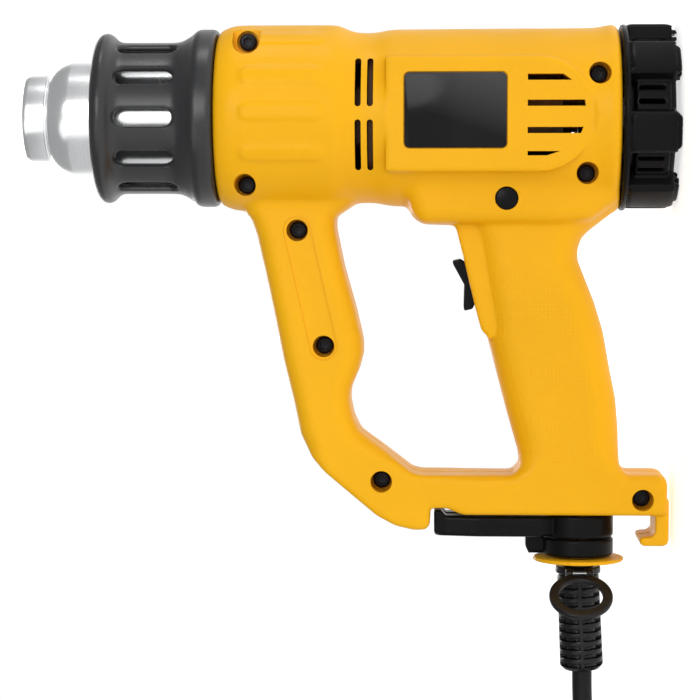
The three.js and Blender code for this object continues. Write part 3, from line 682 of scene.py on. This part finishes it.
# Screws through the left shell into the right: [along, up, depth of the seat].
SCREWS = [
    (168.3, 29.4, 11), (168.7, -26.6, 13), (149, -44.4, 5), (138.6, -90.1, 5),
    (115.8, -143.6, 5), (31.5, 16.2, 19), (35.9, -22.1, 16), (12.8, -150.5, 5),
]
ROCKER_TILT = math.radians(13.7)
ROCKER_MIDDLE = (82, -65.6)  # [along, up]
# The rocker's window and the room for the switch body, [along the grip's front edge, out of it].
ROCKER_WINDOW = [(-10.9, -9), (10.9, -9), (10.9, 8), (-10.9, 8)]
SWITCH_ROOM = [(-14, -22.4), (14, -22.4), (14, -8.8), (-14, -8.8)]
PILOT_RADIUS = 1.9
PILOT_DEPTH = 11
PLUG_HOLE = (66.9, -31.8)
PLUG_FACE = 22.6
RIBS = [(28, 33), (11.8, 19), (-2.3, 4.8), (-17.9, -11.4)]
GRIP_PATCH = [
    (74, -60), (80, -84), (68, -126), (62, -133), (46, -137), (30, -134), (29.5, -120), (31, -104),
    (35.5, -84),
    (44, -63), (52, -57), (64, -56),
]


def pad_outline():
    top, bottom, front, centre = PAD
    radius, middle = (top - bottom) / 2, (top + bottom) / 2
    points = [(front, bottom), (front, top)]
    for t in np.linspace(0, math.pi, 40):
        points.append((centre - radius * math.sin(t), middle + radius * math.cos(t)))
    return points


def housing_field(x, y, z):
    """The housing for y at or above 0, with its bore and hollows taken out."""
    radius = np.hypot(x, y)
    barrel = turned_field(BARREL, radius, z, 0.7)
    flat_handle = side_field(HANDLE, x, z, 0.8)
    flat_hole = side_field(FINGER_HOLE, x, z, 0.8)
    flat = np.maximum(flat_handle, -flat_hole)
    grip = ramp(92 - z, 0, 12) * ramp(x, -150, -132) * ramp(-x, 34, 50)
    edge = 2.2 + 5.0 * ramp(x, -142, -126) + 4.5 * grip
    strip = side_field(SWITCH_STRIP, x, z, 0.5)
    handle = union(thick(less(flat, strip), y, HANDLE_HALF, edge),
                   thick(np.maximum(flat, strip - 3), y, STRIP_HALF, 1.4))
    shoulder = thick(side_field(SHOULDER, x, z, 1.5), y, PLUG_FACE, 7.0)
    body = soft_union(barrel, shoulder, 3.0)
    body = soft_union(body, handle, 2.6)
    rib = np.full(np.broadcast_shapes(x.shape, z.shape), 1e3, np.float32)
    for low, high in RIBS:
        bar = rounded_box(136.7, 170.6, low, high, min(3.4, (high - low) / 2 - 0.05))
        rib = np.minimum(rib, side_field(bar, x, z, 0.9))
    body = body - 0.9 * ramp(-rib, -0.6, 1.2) * ramp(z, 134, 142) * ramp(y, 6, 12)
    pad = side_field(pad_outline(), x, z, 0.5)
    body = soft_union(body, thick(pad, y, PAD_FACE, 1.4) + 0 * z, 1.0)
    body = less(body, np.maximum(pad + 0.3, PAD_FACE - y))
    hook = thick(side_field(HOOK, x, z, 0.5), y, HOOK_HALF, 1.0)
    around = np.hypot(y, z - PIVOT_Z)
    spigot = np.maximum(around - SPIGOT_RADIUS, np.abs(x + 163.5) - 13.4)
    flange = turned_field([(0, -177), (18.6, -177), (18.6, -174.3), (0, -174.3)], around, x, 0.35)
    body = union(body, hook, spigot, flange)
    hollow = union(side_field(GRIP_HOLLOW, x, z, 0.8), side_field(POST_HOLLOW, x, z, 0.8))
    hollow = np.maximum(hollow, np.maximum(y - HOLLOW_HALF, body + WALL))
    body = less(body, np.maximum(around - CABLE_WAY, np.abs(x + 165) - 15))
    bosses = union(*[np.hypot(z - s[0], x - s[1]) - BOSS_RADIUS for s in SCREWS])
    bosses = np.maximum(bosses, -np.maximum(radius - HEATER_ROOM[0], HEATER_ROOM[1] - z))
    posts = union(*[np.maximum(np.hypot(y, z - c) - CLAMP_POST_RADIUS, np.abs(x + 151.9) - 2.1)
                    for c in CLAMP_POSTS])
    return less(body, less(union(radius - BORE, hollow), union(bosses, posts)))


def rocker_corner(along, out):
    """A point [along the grip's front edge, out of it] from the rocker's middle, as [along, up]."""
    c, s = math.cos(ROCKER_TILT), math.sin(ROCKER_TILT)
    return ROCKER_MIDDLE[0] + along * s + out * c, ROCKER_MIDDLE[1] + along * c - out * s


def vent_tools():
    """The four upright slots near the waist, and the pad's four level ones with their slanting ends."""
    tools = []
    for z in (118.6, 123.3):
        tools.append(prism(rounded_box(z, z + 2.4, 3.4, 22.2, 1.1, 4), 10, 60))
        tools.append(prism(rounded_box(z, z + 2.4, -21, -1.6, 1.1, 4), 10, 60))
    rows = [(13.3, 15.7, 42.4, 45.7), (3.4, 5.8, 37.1, 37.4), (-7, -4.6, 38.9, 37.9),
            (-15.5, -13.8, 51.9, 46.7)]
    for low, high, back_low, back_high in rows:
        tools.append(prism([(59.3, low), (59.3, high), (back_high, high), (back_low, low)], 12, 60))
    return tools


def mirrored(points, faces):
    return points * (1, -1, 1), faces[:, ::-1]


def make_housing():
    x, y, z = grid((-178, 0, 1), (39, 38, 182), 0.97)
    field = np.maximum(housing_field(x, y, z), 0.1 - y)
    points, faces = surface(field, x, y, z)
    shared = vent_tools()
    shared.append(prism(rounded_box(66.9, 106.9, -12.9, 16.7, 2.2), 33.7, 60))
    shared.append(prism([rocker_corner(*c) for c in ROCKER_WINDOW], -1, 7.5))
    shared.append(prism(ring_points(*PLUG_HOLE, 4.6), PLUG_FACE - 3, 60))
    for name, slot_side in (("housing_left", -1), ("housing_right", 1)):
        placed = mirrored(points, faces) if slot_side < 0 else (points, faces)
        piece = new_object(name + "_shell", mesh_of(name, *placed), "yellow_plastic", "gun", name)
        tools = list(shared)
        if slot_side < 0:
            tools += [prism(ring_points(s[0], s[1], 4.3, 32), s[2], 60) for s in SCREWS]
        tools = [([(p[0], slot_side * p[1], p[2]) for p in pts], f) for pts, f in tools]
        cut_away(piece, tools)
        inner = [prism([rocker_corner(*c) for c in SWITCH_ROOM], -10, 10)]
        depth_of = {s: s[2] + 1 if slot_side < 0 else PILOT_DEPTH for s in SCREWS}
        inner += [prism(ring_points(s[0], s[1], PILOT_RADIUS, 20), *sorted((-slot_side, slot_side * depth)))
                  for s, depth in depth_of.items()]
        cut_away(piece, inner)
        if slot_side < 0:
            cut_away(piece, recess_tools())
        finish_shell(piece)


def recess_tools():
    """The shallow track that joins two screws on the post, and the pocket over the front screw."""
    (z0, x0), (z1, x1) = (149, -44.4), (138.6, -90.1)
    turn = math.atan2(x1 - x0, z1 - z0)
    track = ring_points(z0, x0, 5.5, 20, turn + math.pi / 2, turn + 3 * math.pi / 2)
    track += ring_points(z1, x1, 5.5, 20, turn - math.pi / 2, turn + math.pi / 2)
    pocket = [(168.3 + 5.5 * math.cos(t), 29.4 + 5.5 * math.sin(t)) for t in np.linspace(-math.pi, 0, 20)]
    pocket += [(173.8, 45), (162.8, 45)]
    return [prism(track, -60, -15.4), prism(pocket, -60, -14)]


def finish_shell(piece):
    """Keeps cut edges crisp and writes where the grip's dotted texture is."""
    mesh = piece.data
    mesh.set_sharp_from_angle(angle=math.radians(38))
    co = np.empty(len(mesh.vertices) * 3, np.float32)
    mesh.vertices.foreach_get("co", co)
    co = co.reshape(-1, 3) / MM - (BASE_SHIFT, 0, 0)
    inside = polygon(GRIP_PATCH, co[:, 2], co[:, 0])
    weight = ramp(-inside, 0, 2.5) * ramp(np.abs(co[:, 1]), 10, 14)
    attribute = mesh.attributes.new("grip", "FLOAT", "POINT")
    attribute.data.foreach_set("value", weight.astype(np.float32))


# ==== other moulded pieces

CHAMFER = 0.7071  # the weight of each side of a 45 degree chamfer


def make_piece(name, slot, body, node, field, lo, hi, pitch):
    """A piece from a field, sampled at a pitch between two corners in gun millimetres."""
    x, y, z = grid(lo, hi, pitch)
    piece = new_object(name, mesh_of(name, *surface(field(x, y, z), x, y, z)), slot, body, node)
    piece.data.set_sharp_from_angle(angle=math.radians(40))
    return piece


def around_z(field, x, y, angle):
    """Samples a field as if it were turned by an angle about the barrel axis."""
    c, s = math.cos(angle), math.sin(angle)
    return field(x * c + y * s, -x * s + y * c)


SHIELD_SLOTS = 11
SHIELD = [
    (30.6, 174.9), (30.6, 180.9), (34.9, 180.9), (35.2, 181.3), (35.2, 188.8), (33.4, 190.4), (31.4, 193.4),
    (30.2, 196), (30, 200), (30, 219.4), (30.8, 221.2), (32.6, 222.6), (33.8, 224.2), (33.9, 225.6),
    (33.2, 227.3), (31.6, 228.6), (29.2, 229.2), (27.4, 229), (27.2, 228), (27.2, 176), (27.8, 174.9),
]


def shield_field(x, y, z):
    body = turned_field(SHIELD, np.hypot(x, y), z, 0.35)
    for k in range(SHIELD_SLOTS):
        angle = 2 * math.pi * (k + 0.217) / SHIELD_SLOTS

        def slot(u, v):
            ahead = np.maximum(np.abs(z - 208.25) - 7.9, 0)
            return np.maximum(np.hypot(ahead, v) - 3.35 - np.clip(u - 28.6, 0, 1.4) * 0.45, 24 - u)
        body = less(body, around_z(slot, x, y, angle))
    return body


CAP_FEET = 7
CAP_RADIUS = 36.9
CAP_TURN = math.radians(1.7)


def cap_field(x, y, z):
    radius = np.hypot(x, y)
    rim = [(27.4, 19.6), (CAP_RADIUS, 19.6), (CAP_RADIUS, 22.3), (27.4, 22.3)]
    rim = turned_field(rim, radius, z, 0.4)
    core = turned_field([(3.4, 12.4), (13, 12.4), (13, 3.4), (14.4, 2), (28.6, 2), (30, 3.4), (30, 17.6),
                         (28, 17.6), (28, 20.5), (27, 20.5), (27, 5), (15, 5), (15, 14.4), (3.4, 14.4)],
                        radius, z, 0.2)
    plate = turned_field([(25, 4.2), (31.6, 4.2), (31.6, 17.6), (25, 17.6)], radius, z, 0.25)
    step = 2 * math.pi / CAP_FEET
    angle = np.arctan2(y, x) - CAP_TURN
    local = angle - step * np.round(angle / step)
    across = radius * np.sin(local)
    out = radius * np.cos(local)
    blank = [(28, 0), (33.6, 0), (36.2, 1.4), (CAP_RADIUS, 3.4), (CAP_RADIUS, 20), (28, 20)]
    blank = turned_field(blank, radius, z, 0.5)
    half = 36.8 * math.sin(math.radians(12.8))
    foot = np.maximum(blank, np.maximum(np.abs(across) - half, 28 - out))
    corner = (np.abs(across) - half) * CHAMFER + (2.6 - z) * CHAMFER
    foot = np.maximum(foot, corner)
    lip = (np.abs(across) - half) * CHAMFER + (radius - CAP_RADIUS + 1.3) * CHAMFER
    foot = np.maximum(foot, lip)
    for ring in (29.6, 32.4, 35.2):
        foot = less(foot, np.maximum(np.abs(radius - ring) - 0.6, z - 2.3))
    body = union(rim, core, plate, foot)
    between = angle - step * (np.floor(angle / step) + 0.5)
    side_way = radius * np.sin(between)
    for offset in (-2.7, 2.7):
        slot = np.hypot(np.maximum(np.abs(z - 11.6) - 4.1, 0), side_way - offset) - 0.95
        body = less(body, np.maximum(slot, 26 - radius))
    hole = np.hypot(np.maximum(np.abs(radius - 21.5) - 3, 0), side_way) - 1.5
    return less(body, np.maximum(hole, z - 6.5))


def dial_field(x, y, z):
    radius = np.hypot(x, y)
    knob = turned_field([(0, 3.4), (11.0, 3.4), (12.2, 4.8), (12.2, 11.6), (0, 11.6)], radius, z, 0.35)
    flutes = 12.9 - 0.9 * (0.5 + 0.5 * np.cos(18 * np.arctan2(y, x)))
    knob = np.maximum(knob, np.where(z > 5.2, (radius - flutes) * 0.7, -9))
    bar = box_field(x, y, z, (-10.4, -2, 1.2), (10.4, 2, 4.6), 0.7)
    return union(knob, bar, np.maximum(radius - 2.9, np.abs(z - 13.1) - 2.1))


def relief_field(x, y, z):
    tilt = math.radians(2.6)
    z = z - PIVOT_Z
    neck_radius = np.hypot(y, z)
    neck = turned_field([(0, -184), (5.8, -184), (5.8, -152.6), (8, -152.6), (8, -150.4), (0, -150.4)],
                        neck_radius + 0 * x, x, 0.2)
    along = -(x + 181.9) * math.cos(tilt) - z * math.sin(tilt)
    rise = -(x + 181.9) * math.sin(tilt) + z * math.cos(tilt)
    radius = np.hypot(y, rise)
    shell = np.maximum(radius - 8.3 - 0.3 * along / 38, np.abs(along - 19.3) - 19.3)
    shell = np.maximum(shell, (radius - 8.9) * CHAMFER + (along - 36.4) * CHAMFER)
    shell = np.maximum(shell, (radius - 8.4) * CHAMFER + (0.7 - along) * CHAMFER)
    row_at = along - 3.5 * np.clip(np.round((along - 4.6) / 3.5), 0, 9) - 4.6
    angle = np.arctan2(rise, y)
    slot = np.maximum(np.maximum(np.abs(row_at) - 0.8, 6.3 - radius), (0.16 - np.abs(np.sin(2 * angle))) * 4)
    shell = less(shell, slot)
    return union(neck, shell)


def arm_field(sign):
    def field(x, y, z):
        top, bottom = -157.7, -165.8
        start = 9.8 if sign < 0 else 14.9
        outline = [(start, 0.9), (57.2, 0.9), (57.6, 1.6), (57.6, 7.4), (55.6, 9.6), (40, 12.3), (15, 12.3),
                   (start, 9)]
        flat = polygon([(a + PIVOT_Z, b) for a, b in outline], z[0], (sign * y)[0])[None]
        middle = (top + bottom) / 2
        bar = thick(flat, x - middle, (top - bottom) / 2, 1.3)
        around = np.hypot(y, z - PIVOT_Z)
        hub = (-157.4, -166.4) if sign < 0 else (-166.9, -174)
        hub_body = turned_field([(9, hub[1]), (13.9, hub[1]), (13.9, hub[0]), (9, hub[0])], around, x, 0.3)
        near, far = (2, 10) if sign > 0 else (-10, -2)
        toe = box_field(x, y, z, (bottom + 1, near, 90.2), (-155.6, far, 95), 0.9)
        toe = np.maximum(toe, (89.6 - z) * 0.6 + (x + 158.6) * 0.5)
        body = union(bar, hub_body, toe)
        if sign > 0:
            foot = box_field(x, y, z, (-174, 1.2, 47.9), (-167.2, 10.4, 58.3), 0.8)
            web = box_field(x, y, z, (-173.2, 1.2, 52.2), (-160, 10.4, 58.3), 0.8)
            slope = (z - 60.3) * 0.9 + (-167 - x) * 0.42
            body = union(body, np.maximum(foot, slope), np.maximum(web, slope))
        return body
    return field


def rocker_field(x, y, z):
    c, s = math.cos(ROCKER_TILT), math.sin(ROCKER_TILT)
    back, up = z - ROCKER_MIDDLE[0], x - ROCKER_MIDDLE[1]
    along, out = np.broadcast_arrays(up * c + back * s, -up * s + back * c)
    outline = [(-10.2, 0.4), (-10.2, 3.4), (-9.6, 3.7), (-8.6, 3.6), (0, 1.3), (8.6, 3.6), (9.6, 3.7),
               (10.2, 3.4), (10.2, 0.4), (5, -4.2), (-5, -4.2)]
    return thick(polygon(outline, along, out), y, 6.9, 0.6)


PLUG_START = (-408.3, -21.25, 7.2)  # where the cord enters the plug
PLUG_TURN = math.radians(180 - 24)
PLUG_LENGTH = 36
PIN_OFFSET = 9.5
PIN_PROFILE = [(0, 0.3), (2.4, 0.3), (2.4, 16.6), (2.2, 17.8), (1.6, 18.7), (0.8, 19), (0, 19)]


def plug_place(x, y, z):
    """A point in the plug's own axes: along it, across it and up."""
    c, s = math.cos(PLUG_TURN), math.sin(PLUG_TURN)
    dx, dy = x - PLUG_START[0], y - PLUG_START[1]
    return dx * c + dy * s, -dx * s + dy * c, z - PLUG_START[2]


def plug_field(x, y, z):
    along, across, up = plug_place(x, y, z)
    stations, widths = [-1, 3, 7, 12, 17, 30, 36], [5.6, 6.0, 6.8, 13.4, 17, 17, 16.4]
    half = np.interp(along[:, :, 0], stations, widths)[:, :, None]
    body = np.maximum(np.abs(across) - half, np.abs(along - PLUG_LENGTH / 2) - PLUG_LENGTH / 2) * 0.85
    body = thick(body, up, 6.75 - 1.2 * ramp(-along, -12, 0), 3.0)
    for k in range(3):
        groove = np.maximum(np.abs(along - 3 - 3 * k) - 0.6, 5.2 - np.abs(across))
        body = np.maximum(body, -np.maximum(groove, along - 10.2))
    ring = box_field(along, across, up, (19, -11, 5.6), (31, 11, 9), 1.0)
    return less(body, ring)


# ==== turned pieces

def lathe(profile, count):
    """Points and faces of a [radius, height] profile turned about Z, closed or from axis to axis."""
    closed = profile[0][0] > 0 and profile[-1][0] > 0
    angles = np.linspace(0, 2 * math.pi, count, endpoint=False)
    points, rings = [], []
    for radius, height in profile:
        start = len(points)
        if radius == 0:
            points.append((0, 0, height))
            rings.append([start] * count)
            continue
        points += [(radius * math.cos(t), radius * math.sin(t), height) for t in angles]
        rings.append(list(range(start, start + count)))
    pairs = list(zip(rings, rings[1:])) + ([(rings[-1], rings[0])] if closed else [])
    faces = []
    for low, high in pairs:
        for k in range(count):
            m = (k + 1) % count
            corners = [low[k], low[m], high[m], high[k]]
            faces.append(tuple(dict.fromkeys(corners)))
    return np.array(points), faces


NOZZLE = [
    (22, 121), (22, 238.6), (21.9, 240), (21.5, 241.6), (20.9, 243.2), (20.0, 244.8), (18.9, 246.2),
    (17.6, 247.4),
    (16.6, 248), (16.3, 248.3), (16.4, 248.7), (17, 249), (17, 255.6), (16.9, 256.6), (16.5, 257.3),
    (15.9, 257.6), (15.6, 257.2), (15.6, 247.4), (18.6, 244.6), (20.4, 241.4), (20.9, 238.6), (20.9, 121),
]


def make_nozzle():
    mesh = closed_mesh("nozzle", *lathe(NOZZLE, 128), 32)
    new_object("nozzle", mesh, "nozzle_steel", "gun", "nozzle_tube")


SCREW_RADIUS = 3.4
SCREW_HEAD = 2.6  # height of the head
SHANK_RADIUS = 1.6
SCREW_HOLD = 9  # how far the shank reaches past the split plane


def screw_mesh(depth):
    """Points and faces of a pan screw along +Z with a six-lobed recess, its head's top at 0."""
    count = 36
    angles = np.linspace(0, 2 * math.pi, count, endpoint=False)
    lobed = 0.5 * SCREW_RADIUS * (1 + 0.13 * np.cos(6 * angles))
    rings = [(np.full(count, radius), level) for radius, level in (
        (SHANK_RADIUS, -depth), (SHANK_RADIUS, -SCREW_HEAD), (SCREW_RADIUS, -SCREW_HEAD),
        (SCREW_RADIUS, -0.55), (SCREW_RADIUS - 0.2, -0.18), (SCREW_RADIUS - 0.7, 0))]
    rings += [(lobed + 0.12, 0), (lobed, -0.12), (lobed * 0.94, -1.3)]
    points, faces = [(0, 0, -depth)], []
    for radii, level in rings:
        points += [(r * math.cos(t), r * math.sin(t), level) for r, t in zip(radii, angles)]
    points.append((0, 0, -1.5))
    last = len(points) - 1
    top = last - count
    for k in range(count):
        m = (k + 1) % count
        faces.append((0, 1 + m, 1 + k))
        for base in range(1, top, count):
            faces.append((base + k, base + m, base + count + m, base + count + k))
        faces.append((top + k, top + m, last))
    return np.array(points), faces


def make_screws():
    for number, (along, up, seat) in enumerate(SCREWS, 1):
        points, faces = screw_mesh(seat + SCREW_HEAD + SCREW_HOLD)
        # The head faces -Y.
        level = -points[:, 2] - seat - SCREW_HEAD
        placed = np.stack([points[:, 0] + up, level, points[:, 1] + along], 1)
        mesh = closed_mesh(f"screw_{number}", placed, faces, 35)
        new_object(f"torx_screw_{number}", mesh, "black_screw", "gun", f"housing_screw_{number}")


def plate_mesh(name, outline, y0, y1, bevel):
    """A flat plate in the side view whose outer face, at y1, has a small rounded edge."""
    count = len(outline)
    flat = np.array(outline)
    centre = flat.mean(0)
    away = flat - centre
    away /= np.linalg.norm(away, axis=1)[:, None]
    sign = 1 if y1 > y0 else -1
    levels = [(0.0, y0), (0.0, y1 - sign * bevel), (0.35 * bevel, y1 - sign * 0.3 * bevel), (bevel, y1)]
    points, faces = [], []
    for inset, level in levels:
        points += [(up, level, along) for along, up in flat - away * inset]
    faces.append(tuple(range(count - 1, -1, -1)))
    for j in range(len(levels) - 1):
        for k in range(count):
            m = (k + 1) % count
            faces.append((j * count + k, j * count + m, (j + 1) * count + m, (j + 1) * count + k))
    faces.append(tuple(range(len(points) - count, len(points))))
    return closed_mesh(name, np.array(points), faces, 50)


def make_side_trim():
    label = rounded_box(67.3, 106.5, -12.5, 16.3, 2.0, 8)
    disc = ring_points(*PLUG_HOLE, 4.35, 40)
    for name, sign in (("left", -1), ("right", 1)):
        mesh = plate_mesh("label_" + name, label, sign * 33.8, sign * 34.85, 0.35)
        new_object("blank_label_" + name, mesh, "gloss_label", "gun", "label_" + name)
        mesh = plate_mesh("trim_" + name, disc, sign * (PLUG_FACE - 2.8), sign * (PLUG_FACE + 0.1), 0.4)
        new_object("trim_disc_" + name, mesh, "black_plastic", "gun", "trim_plug_" + name)


# ==== hang ring, tie and plug

RING_HINGE = (-180.1, -12)  # [up, y]
RING_DROOP = math.radians(33)


def ring_field(x, y, z):
    """The hang ring, drawn with its own axes: reaching along u, its axle along w."""
    u, v, w = ring_frame(x, y, z)
    radius = np.hypot(u - 13.6, w)
    band = np.hypot(np.maximum(np.abs(radius - 10.5) - 1.3, 0), np.maximum(np.abs(v) - 0.4, 0)) - 0.7
    knuckle = np.maximum(np.hypot(u - 0.2, v) - 1.9, np.abs(np.abs(w) - 4.1) - 1.45)
    body = union(band, knuckle)
    notch = box_field(u, w, v, (-3, -2.6, -3), (3, 2.6, 3))
    return less(body, notch, np.hypot(u, v) - 0.95)


def ring_frame(x, y, z):
    """A point in the ring's own axes: the way it reaches, its thickness and its axle."""
    c, s = math.cos(RING_DROOP), math.sin(RING_DROOP)
    dx, dy = x - RING_HINGE[0], y - RING_HINGE[1]
    return np.broadcast_arrays(dx * -s + dy * -c, dx * -c + dy * s, z - PIVOT_Z)


def collar_field(x, y, z):
    around = np.hypot(y, z - PIVOT_Z)
    band = turned_field([(6.3, -181.5), (9, -181.5), (9, -178.7), (6.3, -178.7)], around, x, 0.25)
    lug = box_field(x, y, z, (-181.3, -12, PIVOT_Z - 2.2), (-178.9, -7.4, PIVOT_Z + 2.2), 0.3)
    eye = np.hypot(x - RING_HINGE[0], y - RING_HINGE[1])
    body = union(band, lug, np.maximum(eye - 1.2, np.abs(z - PIVOT_Z) - 2.2))
    return less(body, eye - 0.95 + 0 * z)


def hull_line(centres, radius):
    """The tight closed line round some circles."""
    points = []
    for angle in np.linspace(0, 2 * math.pi, 72, endpoint=False):
        way = np.array([math.cos(angle), math.sin(angle)])
        best = max(centres, key=lambda c: c[0] * way[0] + c[1] * way[1])
        points.append((best[0] + radius * way[0], best[1] + radius * way[1]))
    return points


def make_tie():
    centres = [(34, LOW), (50, LOW), (42, HIGH), (34, HIGH)]
    inner, outer = hull_line(centres, 4.25), hull_line(centres, 5.2)
    count = len(inner)
    points, faces = [], []
    stations = [(-7, inner), (-7, outer), (7, outer), (7, inner)]
    for level, ring in stations:
        points += [(-319 + level, across, up) for across, up in ring]
    for j in range(4):
        for k in range(count):
            m = (k + 1) % count
            a, b = j * count, ((j + 1) % 4) * count
            faces.append((a + k, a + m, b + m, b + k))
    mesh = closed_mesh("cord_tie", np.array(points), faces, 50)
    return new_object("cord_strap", mesh, "tie_fabric", "gun", "cord_tie")


def make_plug():
    pieces = [make_piece("mains_plug", "cord_rubber", "gun", "plug_body", plug_field,
                         (-452, -38, 0.3), (-403, 15, 14.5), 0.7)]
    c, s = math.cos(PLUG_TURN), math.sin(PLUG_TURN)
    points, faces = lathe(PIN_PROFILE, 32)
    for number, offset in ((1, -PIN_OFFSET), (2, PIN_OFFSET)):
        along, across, up = PLUG_LENGTH + points[:, 2], points[:, 0] + offset, points[:, 1]
        placed = np.stack([along * c - across * s, along * s + across * c, up], 1) + PLUG_START
        mesh = closed_mesh(f"pin_{number}", placed, faces, 32)
        pieces.append(new_object(f"mains_pin_{number}", mesh, "pin_brass", "gun", f"plug_pin_{number}"))
    return pieces


# ==== build

make_camera()
make_studio()
make_floor()
MATERIALS = make_materials()
dress_frame()

make_housing()
make_piece("hot_shield", "shield_plastic", "gun", "heat_shield", shield_field,
           (-36, -36, 174), (36, 36, 230), 0.8)
make_nozzle()
make_piece("vent_cap", "black_plastic", "gun", "rear_cap", cap_field,
           (-38, -38, 0), (38, 38, 23), 0.6)
make_piece("heat_dial", "black_plastic", "dial", "temperature_dial", dial_field,
           (-13, -13, 1), (13, 13, 15.4), 0.4)
make_piece("cable_sleeve", "black_rubber", "gun", "strain_relief", relief_field,
           (-222, -9, 27), (-150, 9, 46.5), 0.4)
for side, sign, lowest in (("left", -1, -166), ("right", 1, -174.5)):
    make_piece("stand_arm_" + side, "black_plastic", "stand_" + side, "kickstand_arm_" + side,
               arm_field(sign), (lowest, -14.5, 23), (-155, 14.5, 95.5), 0.5)
make_piece("rocker_switch", "black_plastic", "rocker", "rocker_paddle", rocker_field,
           (-77, -7.5, 76), (-55, 7.5, 89), 0.35)
make_piece("swivel_collar", "black_rubber", "collar", "hang_collar", collar_field,
           (-182, -13.5, 28), (-178, 9.5, 47), 0.3)
make_piece("swivel_ring", "black_rubber", "ring", "hang_ring", ring_field,
           (-196, -36, 24), (-178, -9, 51), 0.35)
make_screws()
make_side_trim()
make_cord([*make_plug(), make_tie()])
